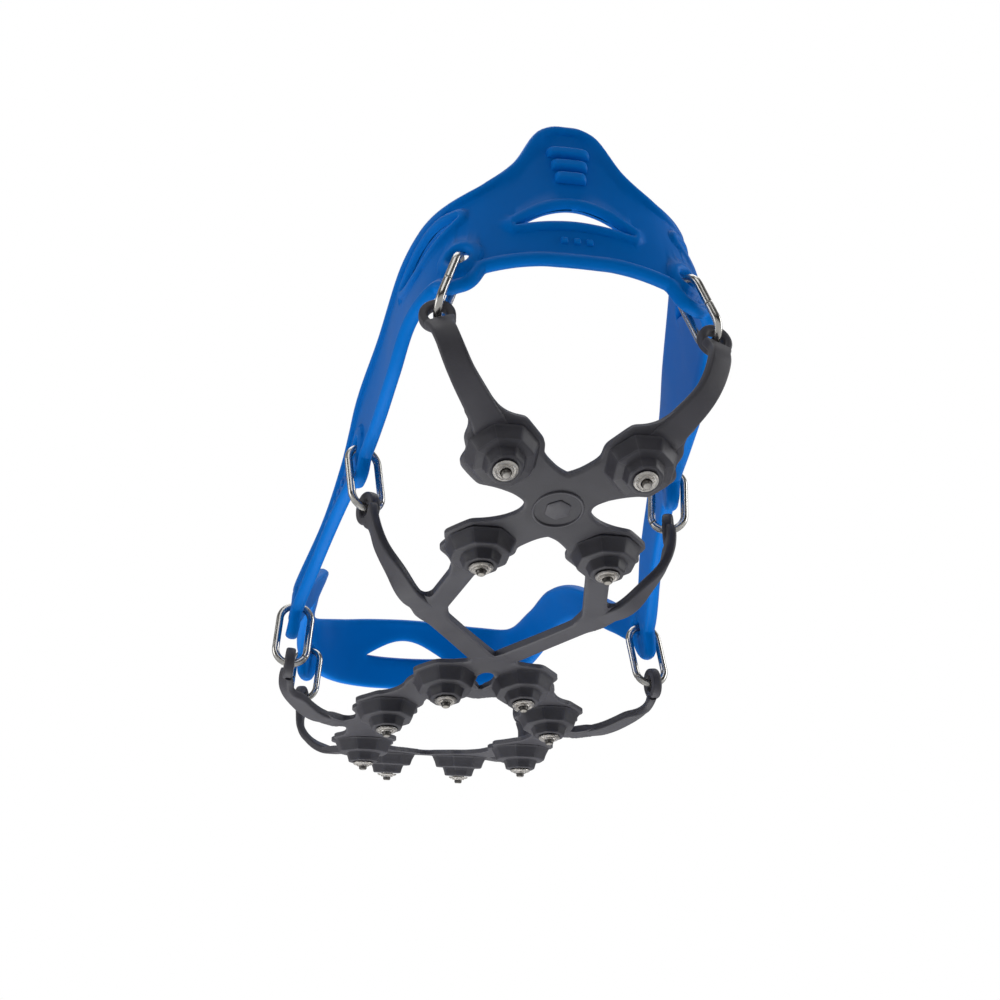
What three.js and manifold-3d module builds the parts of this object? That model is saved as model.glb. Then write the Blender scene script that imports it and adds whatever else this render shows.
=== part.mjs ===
// A pull-on ice cleat for a shoe, size M: an elastic harness, eight wire links and a moulded traction
// web that carries twelve studs. Millimetres, +Z up, +Y towards the toe, +X to the wearer's right.
// The cleat stands on its studs with z = 0 at the lowest tips, and it is the same on both sides of x = 0.
import * as THREE from "three";
import { mergeVertices } from "three/addons/utils/BufferGeometryUtils.js";
import Module from "manifold-3d";

const wasm = await Module();
wasm.setup();

// ---------------------------------------------------------------- driving dimensions

const MIDDLE = 24.0; // the station (distance forward of the waist line) at the middle of the length
const CLEARANCE = 0.3; // gap between pieces that touch

// The straps are thicker than the plates between the lugs: they stand a little below and above them.
const WEB = {
  thickness: 1.8, strapWidth: 6.4, strapThickness: 2.6, strapTop: 2.0, // top: above the plates' underside
  eyeRadius: 4.8, eyeThickness: 3.0,
};
const EYE_HOLE_RADIUS = 2.4; // in the web's eyes and in the harness's lobes
const LUG = {
  flangeWidth: 20.6,
  tierOne: { base: 17.7, end: 15.2, height: 3.9 },
  tierTwo: { base: 10.4, end: 9.1, height: 2.8 },
};
const STUD = {
  flangeRadius: 3.25, flangeHeight: 0.9, neckRadius: 2.5,
  stemRadius: 2.0, stemLength: 4.0,
  tipRadius: 1.25, tipProud: 1.6, tipBuried: 1.9,
};
const UP = new THREE.Vector3(0, 0, 1);
const LUG_HEIGHT = LUG.tierOne.height + LUG.tierTwo.height;
const STACK = LUG_HEIGHT + STUD.flangeHeight + STUD.tipProud; // from the web's underside to a stud's tip

// The underside of the web: flat under the arch, then rocking up to the heel and up to the toe.
const ROCKER = { heelStart: -59, heelRadius: 92, toeStart: 20.5, toeRadius: 234, toeEnd: 124 };

// Right-hand studs: [half spacing, station]. The left-hand ones mirror them.
const LUG_STATIONS = [
  [18.2, -93.5], [17.2, -58.9],
  [11.8, 20.3], [25.5, 44.0], [26.2, 86.0], [12.5, 120.0],
];

const LINK = { wireRadius: 1.1, length: 19.8, width: 9.4 }; // length and width are between wire centres

const BAND = { thickness: 3.0, bead: 0.7, beadWidth: 3.2 };
const HEEL_PANEL = 34; // half the length of the tall panel behind the heel, along the band
const LOBE = { drop: 11.3, halfWidth: 7.2 };
// Lens-shaped slots: half their length, the height of their tips, and how far the two arcs stand above them.
const HEEL_SLOT = { half: 16, height: 10.2, upper: 7.0, lower: 2.1 };
const TOE_SLOT = { half: 15, height: 7.5, upper: 6.5, lower: 0 };
const SIDE_SLOT = { start: 2, end: 31.5, startHeight: 15.4, endHeight: 14.8, upper: 2.0, lower: -6.4 };
const COLUMN = { panel: 3.2, band: 8 }; // spacing of the band's sections, by the heel and elsewhere

// The harness, right half, from the middle of the heel to the middle of the toe. at: a point of the line
// that runs through the link holes; lean: how far the band's height leans right and forward for each
// millimetre up; low and high: the band's edges, measured along its height from that line.
const HARNESS_STATIONS = [
  { at: [0, -112.6, 65], lean: [0, 0.07], low: -2.7, high: 47.4 },
  { at: [5, -112.5, 65], lean: [-0.01, 0.07], low: -2.7, high: 47 },
  { at: [10, -112.3, 65], lean: [-0.02, 0.07], low: -2.8, high: 43.4 },
  { at: [17, -111.6, 65], lean: [-0.06, 0.08], low: -3.8, high: 33 },
  { at: [24.5, -110, 65], lean: [-0.1, 0.09], low: -5.6, high: 26.8 },
  { at: [30, -107.6, 65], lean: [-0.14, 0.1], low: -7.4, high: 24, hole: "heel" },
  { at: [35.4, -102.2, 64.6], lean: [-0.18, 0.08], low: -9, high: 23.2 },
  { at: [38.9, -93, 63.4], lean: [-0.18, 0.04], low: -10, high: 25 },
  { at: [41, -77, 60.4], lean: [-0.12, 0], low: -12, high: 26 },
  { at: [42.8, -56, 56], lean: [-0.08, 0], low: -10.5, high: 20.5 },
  { at: [45, -36, 51.8], lean: [-0.02, 0], low: -7.5, high: 15.6, hole: "mid" },
  { at: [47.6, -16, 47.8], lean: [-0.14, 0], low: -5.4, high: 10.2 },
  { at: [50.4, 4, 43.6], lean: [-0.22, 0], low: -5, high: 7.4 },
  { at: [54.6, 33, 37.8], lean: [-0.14, 0], low: -5.4, high: 7.4, hole: "ball" },
  { at: [49.6, 49, 49.5], lean: [-0.25, 0], low: -5.6, high: 7.6 },
  { at: [44.6, 64, 62], lean: [-0.36, -0.05], low: -5.6, high: 7.6 },
  { at: [42.6, 86, 71.5], lean: [-0.4, -0.08], low: -5.4, high: 8.4 },
  { at: [42, 112, 75.6], lean: [-0.3, -0.1], low: -5, high: 10 },
  { at: [38, 137, 77.2], lean: [-0.12, -0.06], low: -5, high: 13.5, hole: "toe" },
  { at: [27, 151, 78.4], lean: [-0.16, -0.4], low: -5, high: 18 },
  { at: [14, 158, 79.4], lean: [-0.08, -0.62], low: -4.6, high: 21 },
  { at: [0, 160, 79.8], lean: [0, -0.7], low: -4.2, high: 22 },
];

// Where the web's eyes hang below the link holes: how far each eye sits outward of its hole.
const EYE_OUTWARD = { heel: 6.6, mid: -1.6, ball: 2.3, toe: 2.4 };
// How far each link is turned about its length from square to the band, towards the heel, in degrees.
const LINK_TURN = { heel: 22, mid: 14, ball: 0, toe: 0 };

// ---------------------------------------------------------------- materials

const paint = (color, roughness, metalness) =>
  new THREE.MeshStandardMaterial({ color, roughness, metalness });
const ELASTOMER = paint(0x0064b4, 0.42, 0);
const WEB_RUBBER = paint(0x3a3a3e, 0.55, 0);
const ALUMINIUM = paint(0xc8c8c6, 0.3, 1);
const CARBIDE = paint(0x6e6c6a, 0.35, 1);
const STAINLESS = paint(0xb9b7b2, 0.22, 1);

// ---------------------------------------------------------------- solids

// A geometry as a solid: its shared vertices merged, and the triangles that closed up dropped.
function solidOf(geometry) {
  const bare = geometry.clone();
  bare.deleteAttribute("normal");
  bare.deleteAttribute("uv");
  const merged = mergeVertices(bare, 1e-4);
  const index = merged.index.array;
  const kept = [];
  for (let i = 0; i < index.length; i += 3) {
    const [a, b, c] = [index[i], index[i + 1], index[i + 2]];
    if (a !== b && b !== c && c !== a) kept.push(a, b, c);
  }
  return new wasm.Manifold(
    new wasm.Mesh({
      numProp: 3,
      vertProperties: new Float32Array(merged.getAttribute("position").array),
      triVerts: new Uint32Array(kept),
    }),
  );
}

function geometryOf(solid) {
  const { numProp, vertProperties, triVerts } = solid.getMesh();
  const points = new Float32Array((vertProperties.length / numProp) * 3);
  for (let i = 0; i < points.length / 3; i++)
    points.set(vertProperties.subarray(i * numProp, i * numProp + 3), i * 3);
  const geometry = new THREE.BufferGeometry();
  geometry.setAttribute("position", new THREE.BufferAttribute(points, 3));
  geometry.setIndex(new THREE.BufferAttribute(new Uint32Array(triVerts), 1));
  geometry.computeVertexNormals();
  return geometry;
}

const join = (solids) => solids.reduce((a, b) => a.add(b));

// Rings of equal length, each a loop of points, joined one after another. closed: the last joins the first;
// otherwise flat caps end the row. caps holds the triangles of one ring, counter-clockwise seen from outside
// the last ring.
function skin(rings, closed, caps = []) {
  const size = rings[0].length;
  const index = [];
  const rows = closed ? rings.length : rings.length - 1;
  for (let i = 0; i < rows; i++) {
    const here = i * size;
    const next = ((i + 1) % rings.length) * size;
    for (let j = 0; j < size; j++) {
      const k = (j + 1) % size;
      index.push(here + j, here + k, next + k, here + j, next + k, next + j);
    }
  }
  const last = (rings.length - 1) * size;
  for (const [a, b, c] of caps) index.push(c, b, a, last + a, last + b, last + c);
  const points = rings.flat().flatMap((p) => [p.x, p.y, p.z]);
  const geometry = new THREE.BufferGeometry();
  geometry.setAttribute("position", new THREE.Float32BufferAttribute(points, 3));
  geometry.setIndex(index);
  const solid = solidOf(geometry);
  if (solid.volume() > 0) return solid;
  const flipped = [];
  for (let i = 0; i < index.length; i += 3) flipped.push(index[i], index[i + 2], index[i + 1]);
  geometry.setIndex(flipped);
  return solidOf(geometry);
}

// A turned solid from [radius, height] pairs, its axis along axis and its height 0 at origin.
function turned(profile, segments, origin, axis, twist = 0) {
  const points = profile.map(([radius, height]) => new THREE.Vector2(radius, height));
  const geometry = new THREE.LatheGeometry(points, segments);
  geometry.rotateY(twist);
  geometry.applyQuaternion(new THREE.Quaternion().setFromUnitVectors(new THREE.Vector3(0, 1, 0), axis));
  geometry.translate(origin.x, origin.y, origin.z);
  return solidOf(geometry);
}

const mirrored = (solid) => solid.mirror([1, 0, 0]);

// ---------------------------------------------------------------- the rocker

function rockerHeight(station) {
  const heel = Math.max(0, ROCKER.heelStart - station);
  const toe = Math.max(0, Math.min(station, ROCKER.toeEnd) - ROCKER.toeStart);
  const beyond = Math.max(0, station - ROCKER.toeEnd);
  return STACK + heel ** 2 / (2 * ROCKER.heelRadius) + toe ** 2 / (2 * ROCKER.toeRadius)
    + (beyond * toe) / ROCKER.toeRadius;
}

function rockerSlope(station) {
  const heel = Math.max(0, ROCKER.heelStart - station);
  const toe = Math.max(0, Math.min(station, ROCKER.toeEnd) - ROCKER.toeStart);
  return toe / ROCKER.toeRadius - heel / ROCKER.heelRadius;
}

// The direction into the shoe at a station of the rocker.
function intoShoe(station) {
  const angle = Math.atan(rockerSlope(station));
  return new THREE.Vector3(0, -Math.sin(angle), Math.cos(angle));
}

function onRocker(x, station, lift) {
  return new THREE.Vector3(x, station - MIDDLE, rockerHeight(station))
    .addScaledVector(intoShoe(station), lift);
}

// ---------------------------------------------------------------- the harness's surface

const HALF = HARNESS_STATIONS.length - 1;
const LOOP = [
  ...HARNESS_STATIONS,
  ...HARNESS_STATIONS.slice(1, HALF).reverse().map((s) => ({
    ...s, at: [-s.at[0], s.at[1], s.at[2]], lean: [-s.lean[0], s.lean[1]],
  })),
];
const loopCurve = new THREE.CatmullRomCurve3(
  LOOP.map((s) => new THREE.Vector3(s.at[0], s.at[1] - MIDDLE, s.at[2])), true, "centripetal");

// A value between stations, by a cubic through the four nearest ones.
function between(place, pick) {
  const i = Math.floor(place);
  const t = place - i;
  const [a, b, c, d] = [-1, 0, 1, 2].map((k) => pick(LOOP[(i + k + LOOP.length) % LOOP.length]));
  return b + 0.5 * t * (c - a + t * (2 * a - 5 * b + 4 * c - d + t * (3 * (b - c) + d - a)));
}

// The band at a place of the loop: its line, its height and outward directions, and its edges.
function bandAt(place) {
  const origin = loopCurve.getPoint((((place / LOOP.length) % 1) + 1) % 1);
  const ahead = loopCurve.getTangent((((place / LOOP.length) % 1) + 1) % 1);
  const up = new THREE.Vector3(
    between(place, (s) => s.lean[0]), between(place, (s) => s.lean[1]), 1).normalize();
  const out = new THREE.Vector3().crossVectors(ahead, up).normalize();
  return {
    origin, up, out, ahead,
    low: between(place, (s) => s.low), high: between(place, (s) => s.high),
  };
}

const STEPS = 24; // samples for each station when the line's length is measured
const lengths = [0];
for (let i = 1; i <= LOOP.length * STEPS; i++) {
  const step = bandAt(i / STEPS).origin.distanceTo(bandAt((i - 1) / STEPS).origin);
  lengths.push(lengths[i - 1] + step);
}
const LOOP_LENGTH = lengths[LOOP.length * STEPS];

// The place of the loop that lies a distance along its line from the middle of the heel.
function placeAt(distance) {
  const wrapped = ((distance % LOOP_LENGTH) + LOOP_LENGTH) % LOOP_LENGTH;
  let i = lengths.findIndex((l) => l > wrapped) - 1;
  if (i < 0) i = lengths.length - 2;
  return (i + (wrapped - lengths[i]) / (lengths[i + 1] - lengths[i])) / STEPS;
}
const distanceOf = (place) => lengths[Math.round(place * STEPS)];

const HOLES = LOOP.flatMap((s, place) =>
  s.hole ? [{ name: s.hole, right: place < HALF, place, distance: distanceOf(place) }] : []);

// How far the band's lower edge drops at a distance, with a rounded lobe round each link hole.
function lowerEdge(distance, low) {
  let edge = low;
  for (const hole of HOLES) {
    const off = Math.abs(distance - hole.distance) / LOBE.halfWidth;
    if (off < 1) edge = Math.min(edge, -LOBE.drop * (1 - off ** 2.6) ** (1 / 2.2));
  }
  return edge;
}

function pointOnBand(distance, height, outward) {
  const band = bandAt(placeAt(distance));
  return band.origin.clone().addScaledVector(band.up, height).addScaledVector(band.out, outward);
}

// A prism through the band, its outline given as [distance, height] pairs.
function cutterThroughBand(outline, reach) {
  const flat = outline.map(([s, h]) => new THREE.Vector2(s, h));
  const rings = [-reach, reach].map((out) => outline.map(([s, h]) => pointOnBand(s, h, out)));
  return skin(rings, false, THREE.ShapeUtils.triangulateShape(flat, []));
}

// A lens: two arcs that meet in points and stand upper and lower above its long axis.
function lens(from, to, { upper, lower }, steps = 7) {
  const outline = [];
  for (let side = 0; side < 2; side++)
    for (let i = 0; i < steps; i++) {
      const t = side ? 1 - i / steps : i / steps;
      const bulge = Math.sin(Math.PI * t) * (side ? lower : upper);
      outline.push([
        THREE.MathUtils.lerp(from[0], to[0], t),
        THREE.MathUtils.lerp(from[1], to[1], t) + bulge,
      ]);
    }
  return outline.reverse();
}

function makeHarness() {
  const cuts = new Set();
  for (let s = 0; s < LOOP_LENGTH / 2; s += s < HEEL_PANEL ? COLUMN.panel : COLUMN.band) {
    cuts.add(s);
    cuts.add(LOOP_LENGTH - s);
  }
  for (const hole of HOLES)
    for (const off of [-1, -0.96, -0.8, -0.45, 0, 0.45, 0.8, 0.96, 1])
      cuts.add((hole.distance + off * LOBE.halfWidth + LOOP_LENGTH) % LOOP_LENGTH);
  const distances = [...cuts].sort((a, b) => a - b)
    .filter((s, i, all) => i === 0 || s - all[i - 1] > 0.2);
  const face = BAND.thickness / 2;
  const rim = face + BAND.bead;
  const rings = distances.map((s) => {
    const { low, high } = bandAt(placeAt(s));
    const bottom = lowerEdge(s, low);
    const shape = [
      [bottom, -face], [bottom, rim], [bottom + BAND.beadWidth, rim], [bottom + BAND.beadWidth + 0.8, face],
      [high - BAND.beadWidth - 0.8, face], [high - BAND.beadWidth, rim], [high, rim], [high, -face],
    ];
    return shape.map(([height, outward]) => pointOnBand(s, height, outward));
  });
  let body = skin(rings, true);
  const circle = (distance) => Array.from({ length: 12 }, (_, i) => {
    const angle = (2 * Math.PI * i) / 12;
    return [distance + EYE_HOLE_RADIUS * Math.cos(angle), EYE_HOLE_RADIUS * Math.sin(angle)];
  });
  const heelHole = HOLES.find((h) => h.name === "heel" && h.right).distance;
  const near = [heelHole + SIDE_SLOT.start, SIDE_SLOT.startHeight];
  const far = [heelHole + SIDE_SLOT.end, SIDE_SLOT.endHeight];
  const level = (middle, slot) =>
    lens([middle - slot.half, slot.height], [middle + slot.half, slot.height], slot);
  const outlines = [
    ...HOLES.map((hole) => circle(hole.distance)),
    level(0, HEEL_SLOT),
    level(LOOP_LENGTH / 2, TOE_SLOT),
    lens(near, far, SIDE_SLOT),
    lens([-far[0], far[1]], [-near[0], near[1]], SIDE_SLOT),
  ];
  for (const outline of outlines) body = body.subtract(cutterThroughBand(outline, BAND.thickness + 2));
  return body;
}

// ---------------------------------------------------------------- the links

// Where a link hangs: its hole in the harness, the eye below it, its long direction (up) and its short one,
// which points out of the shoe and is the axis of the eye.
function linkFrame(name) {
  const hole = HOLES.find((h) => h.name === name && h.right);
  const { origin, out } = bandAt(hole.place);
  const turn = -THREE.MathUtils.degToRad(LINK_TURN[name]);
  const outward = new THREE.Vector3(out.x, out.y, 0).normalize().applyAxisAngle(UP, turn);
  const aside = EYE_OUTWARD[name];
  const shift = new THREE.Vector3(aside, 0, -Math.sqrt(LINK.length ** 2 - aside ** 2));
  const along = shift.clone().negate().normalize();
  const across = outward.addScaledVector(along, -outward.dot(along)).normalize();
  return { top: origin.clone(), eye: origin.clone().add(shift), along, across };
}

// A round wire bent to an oval: two half circles and two straight sides.
function makeLink(frame) {
  const { along, across } = frame;
  const centre = frame.top.clone().add(frame.eye).multiplyScalar(0.5);
  const bend = LINK.width / 2;
  const straight = LINK.length / 2 - bend;
  const side = new THREE.Vector3().crossVectors(along, across);
  const rings = [];
  const turns = 8;
  for (let half = 0; half < 2; half++)
    for (let i = 0; i <= turns; i++) {
      const angle = Math.PI * (half + i / turns);
      const radial = across.clone().multiplyScalar(Math.cos(angle)).addScaledVector(along, Math.sin(angle));
      const spot = centre.clone().addScaledVector(along, half ? -straight : straight)
        .addScaledVector(radial, bend);
      rings.push(Array.from({ length: 8 }, (_, j) => {
        const round = (2 * Math.PI * j) / 8;
        return spot.clone().addScaledVector(radial, LINK.wireRadius * Math.cos(round))
          .addScaledVector(side, LINK.wireRadius * Math.sin(round));
      }));
    }
  return skin(rings, true);
}

// ---------------------------------------------------------------- the traction web

// A strap of rectangular section through stops: each has the middle of the section, the direction into
// the shoe, and the width there.
function strap(stops, thickness, steps) {
  const path = new THREE.CatmullRomCurve3(stops.map((s) => s.at), false, "centripetal");
  const inward = new THREE.CatmullRomCurve3(stops.map((s) => s.into), false, "centripetal");
  const rings = [];
  for (let i = 0; i <= steps; i++) {
    const t = i / steps;
    const at = path.getPoint(t);
    const ahead = path.getTangent(t);
    const across = new THREE.Vector3().crossVectors(ahead, inward.getPoint(t)).normalize();
    const into = new THREE.Vector3().crossVectors(across, ahead).normalize();
    const nearest = Math.min(Math.floor(t * (stops.length - 1)), stops.length - 2);
    const width = THREE.MathUtils.lerp(
      stops[nearest].width, stops[nearest + 1].width, t * (stops.length - 1) - nearest);
    rings.push([[-1, -1], [1, -1], [1, 1], [-1, 1]].map(([u, v]) =>
      at.clone().addScaledVector(across, (u * width) / 2).addScaledVector(into, (v * thickness) / 2)));
  }
  return skin(rings, false, [[0, 1, 2], [0, 2, 3]]);
}

const soleStop = (x, station, width, lift = WEB.thickness / 2) =>
  ({ at: onRocker(x, station, lift), into: intoShoe(station), width });
const sideStop = (x, station, z, into, width) =>
  ({ at: new THREE.Vector3(x, station - MIDDLE, z), into: new THREE.Vector3(...into), width });

// One lug: an eight-sided flange and two eight-sided steps, with a blind bore for the stud's stem.
function lugProfile() {
  const corner = 1 / (2 * Math.cos(Math.PI / 8)); // from a width across flats to a radius at the corners
  const { flangeWidth, tierOne, tierTwo } = LUG;
  return [
    [0, WEB.thickness], [flangeWidth * corner, WEB.thickness], [flangeWidth * corner, 0],
    [tierOne.base * corner, 0], [tierOne.end * corner, -tierOne.height],
    [tierTwo.base * corner, -tierOne.height], [tierTwo.end * corner, -LUG_HEIGHT], [0, -LUG_HEIGHT],
  ].reverse();
}

function makeLug(x, station) {
  const body = turned(lugProfile(), 8, onRocker(x, station, 0), intoShoe(station), Math.PI / 8);
  const reach = STUD.stemLength + CLEARANCE - LUG_HEIGHT;
  const bore = turned(
    [[0, -LUG_HEIGHT - 1], [STUD.stemRadius + CLEARANCE, -LUG_HEIGHT - 1],
      [STUD.stemRadius + CLEARANCE, reach], [0, reach]],
    12, onRocker(x, station, 0), intoShoe(station));
  return { body, bore };
}

// An eye at the end of an arm: a short round boss; its hole is cut afterwards.
function eyeBoss(frame, radius, length, segments) {
  const half = length / 2;
  return turned([[0, -half], [radius, -half], [radius, half], [0, half]], segments, frame.eye, frame.across);
}

function makeWebHalf(frames) {
  const into = (name) => frames[name].across.clone().negate();
  const eyeStop = (name) =>
    ({ at: frames[name].eye.clone(), into: into(name), width: WEB.strapWidth });
  const wide = WEB.strapWidth;
  const plate = WEB.thickness - CLEARANCE;
  const thick = WEB.strapThickness;
  const lift = WEB.strapTop - thick / 2;
  const straps = [
    // heel plate: a hub, and a leg to each of the four lugs
    strap([soleStop(0, -87, 12), soleStop(0, -76.5, 17), soleStop(0, -65.6, 12)], plate, 4),
    strap([soleStop(3, -81.8, 14), soleStop(18.2, -93.5, 15)], plate, 3),
    strap([soleStop(3, -71.9, 13), soleStop(17.2, -58.9, 15)], plate, 3),
    // heel arm
    strap([soleStop(19, -95, 12), soleStop(25, -104, 8, lift),
      sideStop(31.7, -111.2, 27.4, [-0.3, 0.7, 0.65], 6.8),
      sideStop(35.4, -112.8, 36.8, [-0.3, 0.93, 0.2], 6.4), eyeStop("heel")], thick, 10),
    // from the front heel lug to the Y node, and on to the V
    strap([soleStop(17.8, -56, 10, lift), soleStop(19.2, -42, wide, lift), soleStop(23.6, -20.5, wide, lift)],
      thick, 3),
    strap([soleStop(25, -21.8, wide, lift), soleStop(13, -6.8, wide, lift), soleStop(-1.8, 11.4, 7.5, lift)],
      thick, 4),
    // mid arm
    strap([soleStop(22.4, -19.6, wide, lift), soleStop(30.8, -28.6, wide, lift),
      sideStop(35.7, -34.5, 13.8, [-0.35, 0, 0.93], wide), sideStop(40.2, -38.3, 19.1, [-0.8, 0, 0.55], wide),
      sideStop(42.4, -39, 26, [-1, 0, 0.12], wide), eyeStop("mid")], thick, 12),
    // from the V round the centre hole to the first lug of the ring
    strap([soleStop(-1, 8.6, 8), soleStop(6.5, 13.4, 8.5), soleStop(11.8, 20.3, 12)], plate, 3),
    strap([soleStop(12, 22, 9), soleStop(5.5, 27.4, 7.5), soleStop(-1.5, 29.9, 7)], plate, 3),
    // round the ring of forefoot lugs
    strap([soleStop(11.8, 20.3, 13), soleStop(19.5, 32.5, 12), soleStop(25.5, 44, 13)], plate, 4),
    strap([soleStop(26, 44, 12), soleStop(31, 64, 9), soleStop(26.6, 86, 12)], plate, 7),
    strap([soleStop(26.2, 86, 13), soleStop(20.5, 104, 11), soleStop(12.5, 120, 13)], plate, 6),
    strap([soleStop(12.5, 120, 12), soleStop(5, 123, 9), soleStop(-1.5, 123.5, 9)], plate, 3),
    // ball arm
    strap([soleStop(29.5, 63, 8), soleStop(38, 61, wide, lift), soleStop(46, 55, wide, lift),
      sideStop(52.4, 47, 13, [-0.2, 0, 1], wide), sideStop(56.9, 39.5, 14, [-0.85, 0, 0.5], wide),
      eyeStop("ball")], thick, 12),
    // toe arm
    strap([soleStop(13.5, 121, 11), soleStop(23.5, 128, 7.4, lift), soleStop(32.5, 134, wide, lift),
      sideStop(40.2, 138.4, 46.5, [-0.75, -0.2, 0.6], wide), eyeStop("toe")], thick, 9),
  ];
  const bosses = Object.values(frames).map((f) => eyeBoss(f, WEB.eyeRadius, WEB.eyeThickness, 16));
  const holes = Object.values(frames).map((f) => eyeBoss(f, EYE_HOLE_RADIUS, 3 * WEB.eyeThickness, 14));
  const lugs = LUG_STATIONS.map(([x, station]) => makeLug(x, station));
  const cutters = [...holes, ...lugs.map((l) => l.bore)];
  return { body: join([...straps, ...bosses, ...lugs.map((l) => l.body)]), cutters };
}

function makeWeb(frames) {
  const { body, cutters } = makeWebHalf(frames);
  const cut = join(cutters);
  return body.add(mirrored(body)).subtract(cut.add(mirrored(cut)));
}

// ---------------------------------------------------------------- the studs

// A flanged aluminium base: a stem that sits in the lug, a coned flange and a socket for the tip.
function makeStudBase(x, station) {
  const face = -LUG_HEIGHT - CLEARANCE;
  const end = -LUG_HEIGHT - STUD.flangeHeight;
  const socket = STUD.tipRadius + CLEARANCE;
  const floor = end + STUD.tipBuried + CLEARANCE;
  return turned(
    [[0, floor], [socket, floor], [socket, end], [STUD.neckRadius, end], [STUD.flangeRadius, face - 0.25],
      [STUD.flangeRadius, face], [STUD.stemRadius, face], [STUD.stemRadius, STUD.stemLength - LUG_HEIGHT],
      [0, STUD.stemLength - LUG_HEIGHT]],
    12, onRocker(x, station, 0), intoShoe(station));
}

function makeStudTip(x, station) {
  const end = -STACK;
  const buried = -LUG_HEIGHT - STUD.flangeHeight + STUD.tipBuried;
  return turned(
    [[0, end], [STUD.tipRadius - 0.35, end], [STUD.tipRadius, end + 0.35],
      [STUD.tipRadius, buried], [0, buried]],
    10, onRocker(x, station, 0), intoShoe(station));
}

// ---------------------------------------------------------------- the cleat

const group = new THREE.Group();

function place(name, solid, material) {
  const mesh = new THREE.Mesh(geometryOf(solid), material);
  mesh.name = name;
  group.add(mesh);
}

const frames = Object.fromEntries(["heel", "mid", "ball", "toe"].map((name) => [name, linkFrame(name)]));

place("harness", makeHarness(), ELASTOMER);
place("traction_web", makeWeb(frames), WEB_RUBBER);
for (const [name, frame] of Object.entries(frames)) {
  const link = makeLink(frame);
  place(`link_${name}_right`, link, STAINLESS);
  place(`link_${name}_left`, mirrored(link), STAINLESS);
}
LUG_STATIONS.forEach(([x, station], i) => {
  const row = i + 1;
  const base = makeStudBase(x, station);
  const tip = makeStudTip(x, station);
  place(`stud_base_${row}_right`, base, ALUMINIUM);
  place(`stud_base_${row}_left`, mirrored(base), ALUMINIUM);
  place(`stud_tip_${row}_right`, tip, CARBIDE);
  place(`stud_tip_${row}_left`, mirrored(tip), CARBIDE);
});

export default group;
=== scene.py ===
"""A pull-on ice cleat for a shoe, size M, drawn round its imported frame.

Formulas are in millimetres and the meshes in metres: +Z up, +Y towards the toe, +X to the wearer's right.
A station is a distance forward of the waist line, which lies MIDDLE ahead of the frame's origin.
"""
import math

import bmesh
import bpy
import numpy as np
from mathutils import Matrix, Vector


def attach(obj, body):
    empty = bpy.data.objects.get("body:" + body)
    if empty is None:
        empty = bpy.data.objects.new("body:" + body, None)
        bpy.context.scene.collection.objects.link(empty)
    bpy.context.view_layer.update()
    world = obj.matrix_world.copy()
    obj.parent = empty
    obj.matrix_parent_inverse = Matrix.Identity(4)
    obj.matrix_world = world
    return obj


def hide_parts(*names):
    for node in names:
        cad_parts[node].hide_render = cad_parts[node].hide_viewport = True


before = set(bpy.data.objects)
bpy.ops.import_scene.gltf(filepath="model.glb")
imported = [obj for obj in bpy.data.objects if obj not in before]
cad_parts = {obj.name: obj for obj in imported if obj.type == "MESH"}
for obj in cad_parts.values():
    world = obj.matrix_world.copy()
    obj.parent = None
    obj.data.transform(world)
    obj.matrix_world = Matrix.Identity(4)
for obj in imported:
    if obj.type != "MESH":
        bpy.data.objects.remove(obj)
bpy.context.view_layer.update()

MM = 0.001

# ---------------------------------------------------------------- sizes, as on the frame

MIDDLE = 24.0  # the station at the middle of the length
WEB = {"thickness": 1.8, "strap_thickness": 2.6, "strap_top": 2.0, "eye_radius": 4.8, "eye_thickness": 3.0}
EYE_HOLE = 2.4
TIER_ONE = {"base": 17.7, "end": 15.2, "height": 3.9}
TIER_TWO = {"base": 10.4, "end": 9.1, "height": 2.8}
FLANGE_WIDTH = 20.6
STUD = {"flange_radius": 3.25, "flange_height": 0.9, "stem_radius": 2.0, "stem_length": 4.0,
        "tip_radius": 1.25, "tip_proud": 1.6, "tip_buried": 1.9}
CLEARANCE = 0.3
LUG_HEIGHT = TIER_ONE["height"] + TIER_TWO["height"]
STACK = LUG_HEIGHT + STUD["flange_height"] + STUD["tip_proud"]
ROCKER = {"heel_start": -59, "heel_radius": 92, "toe_start": 20.5, "toe_radius": 234, "toe_end": 124}
LUG_STATIONS = [(18.2, -93.5), (17.2, -58.9), (11.8, 20.3), (25.5, 44.0), (26.2, 86.0), (12.5, 120.0)]
LINK = {"wire_radius": 1.1, "length": 19.8, "width": 9.4}
BAND = {"thickness": 3.0, "bead": 0.7, "bead_width": 3.2, "sunk": 0.4}
LOBE = {"drop": 11.3, "half_width": 7.2}

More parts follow.
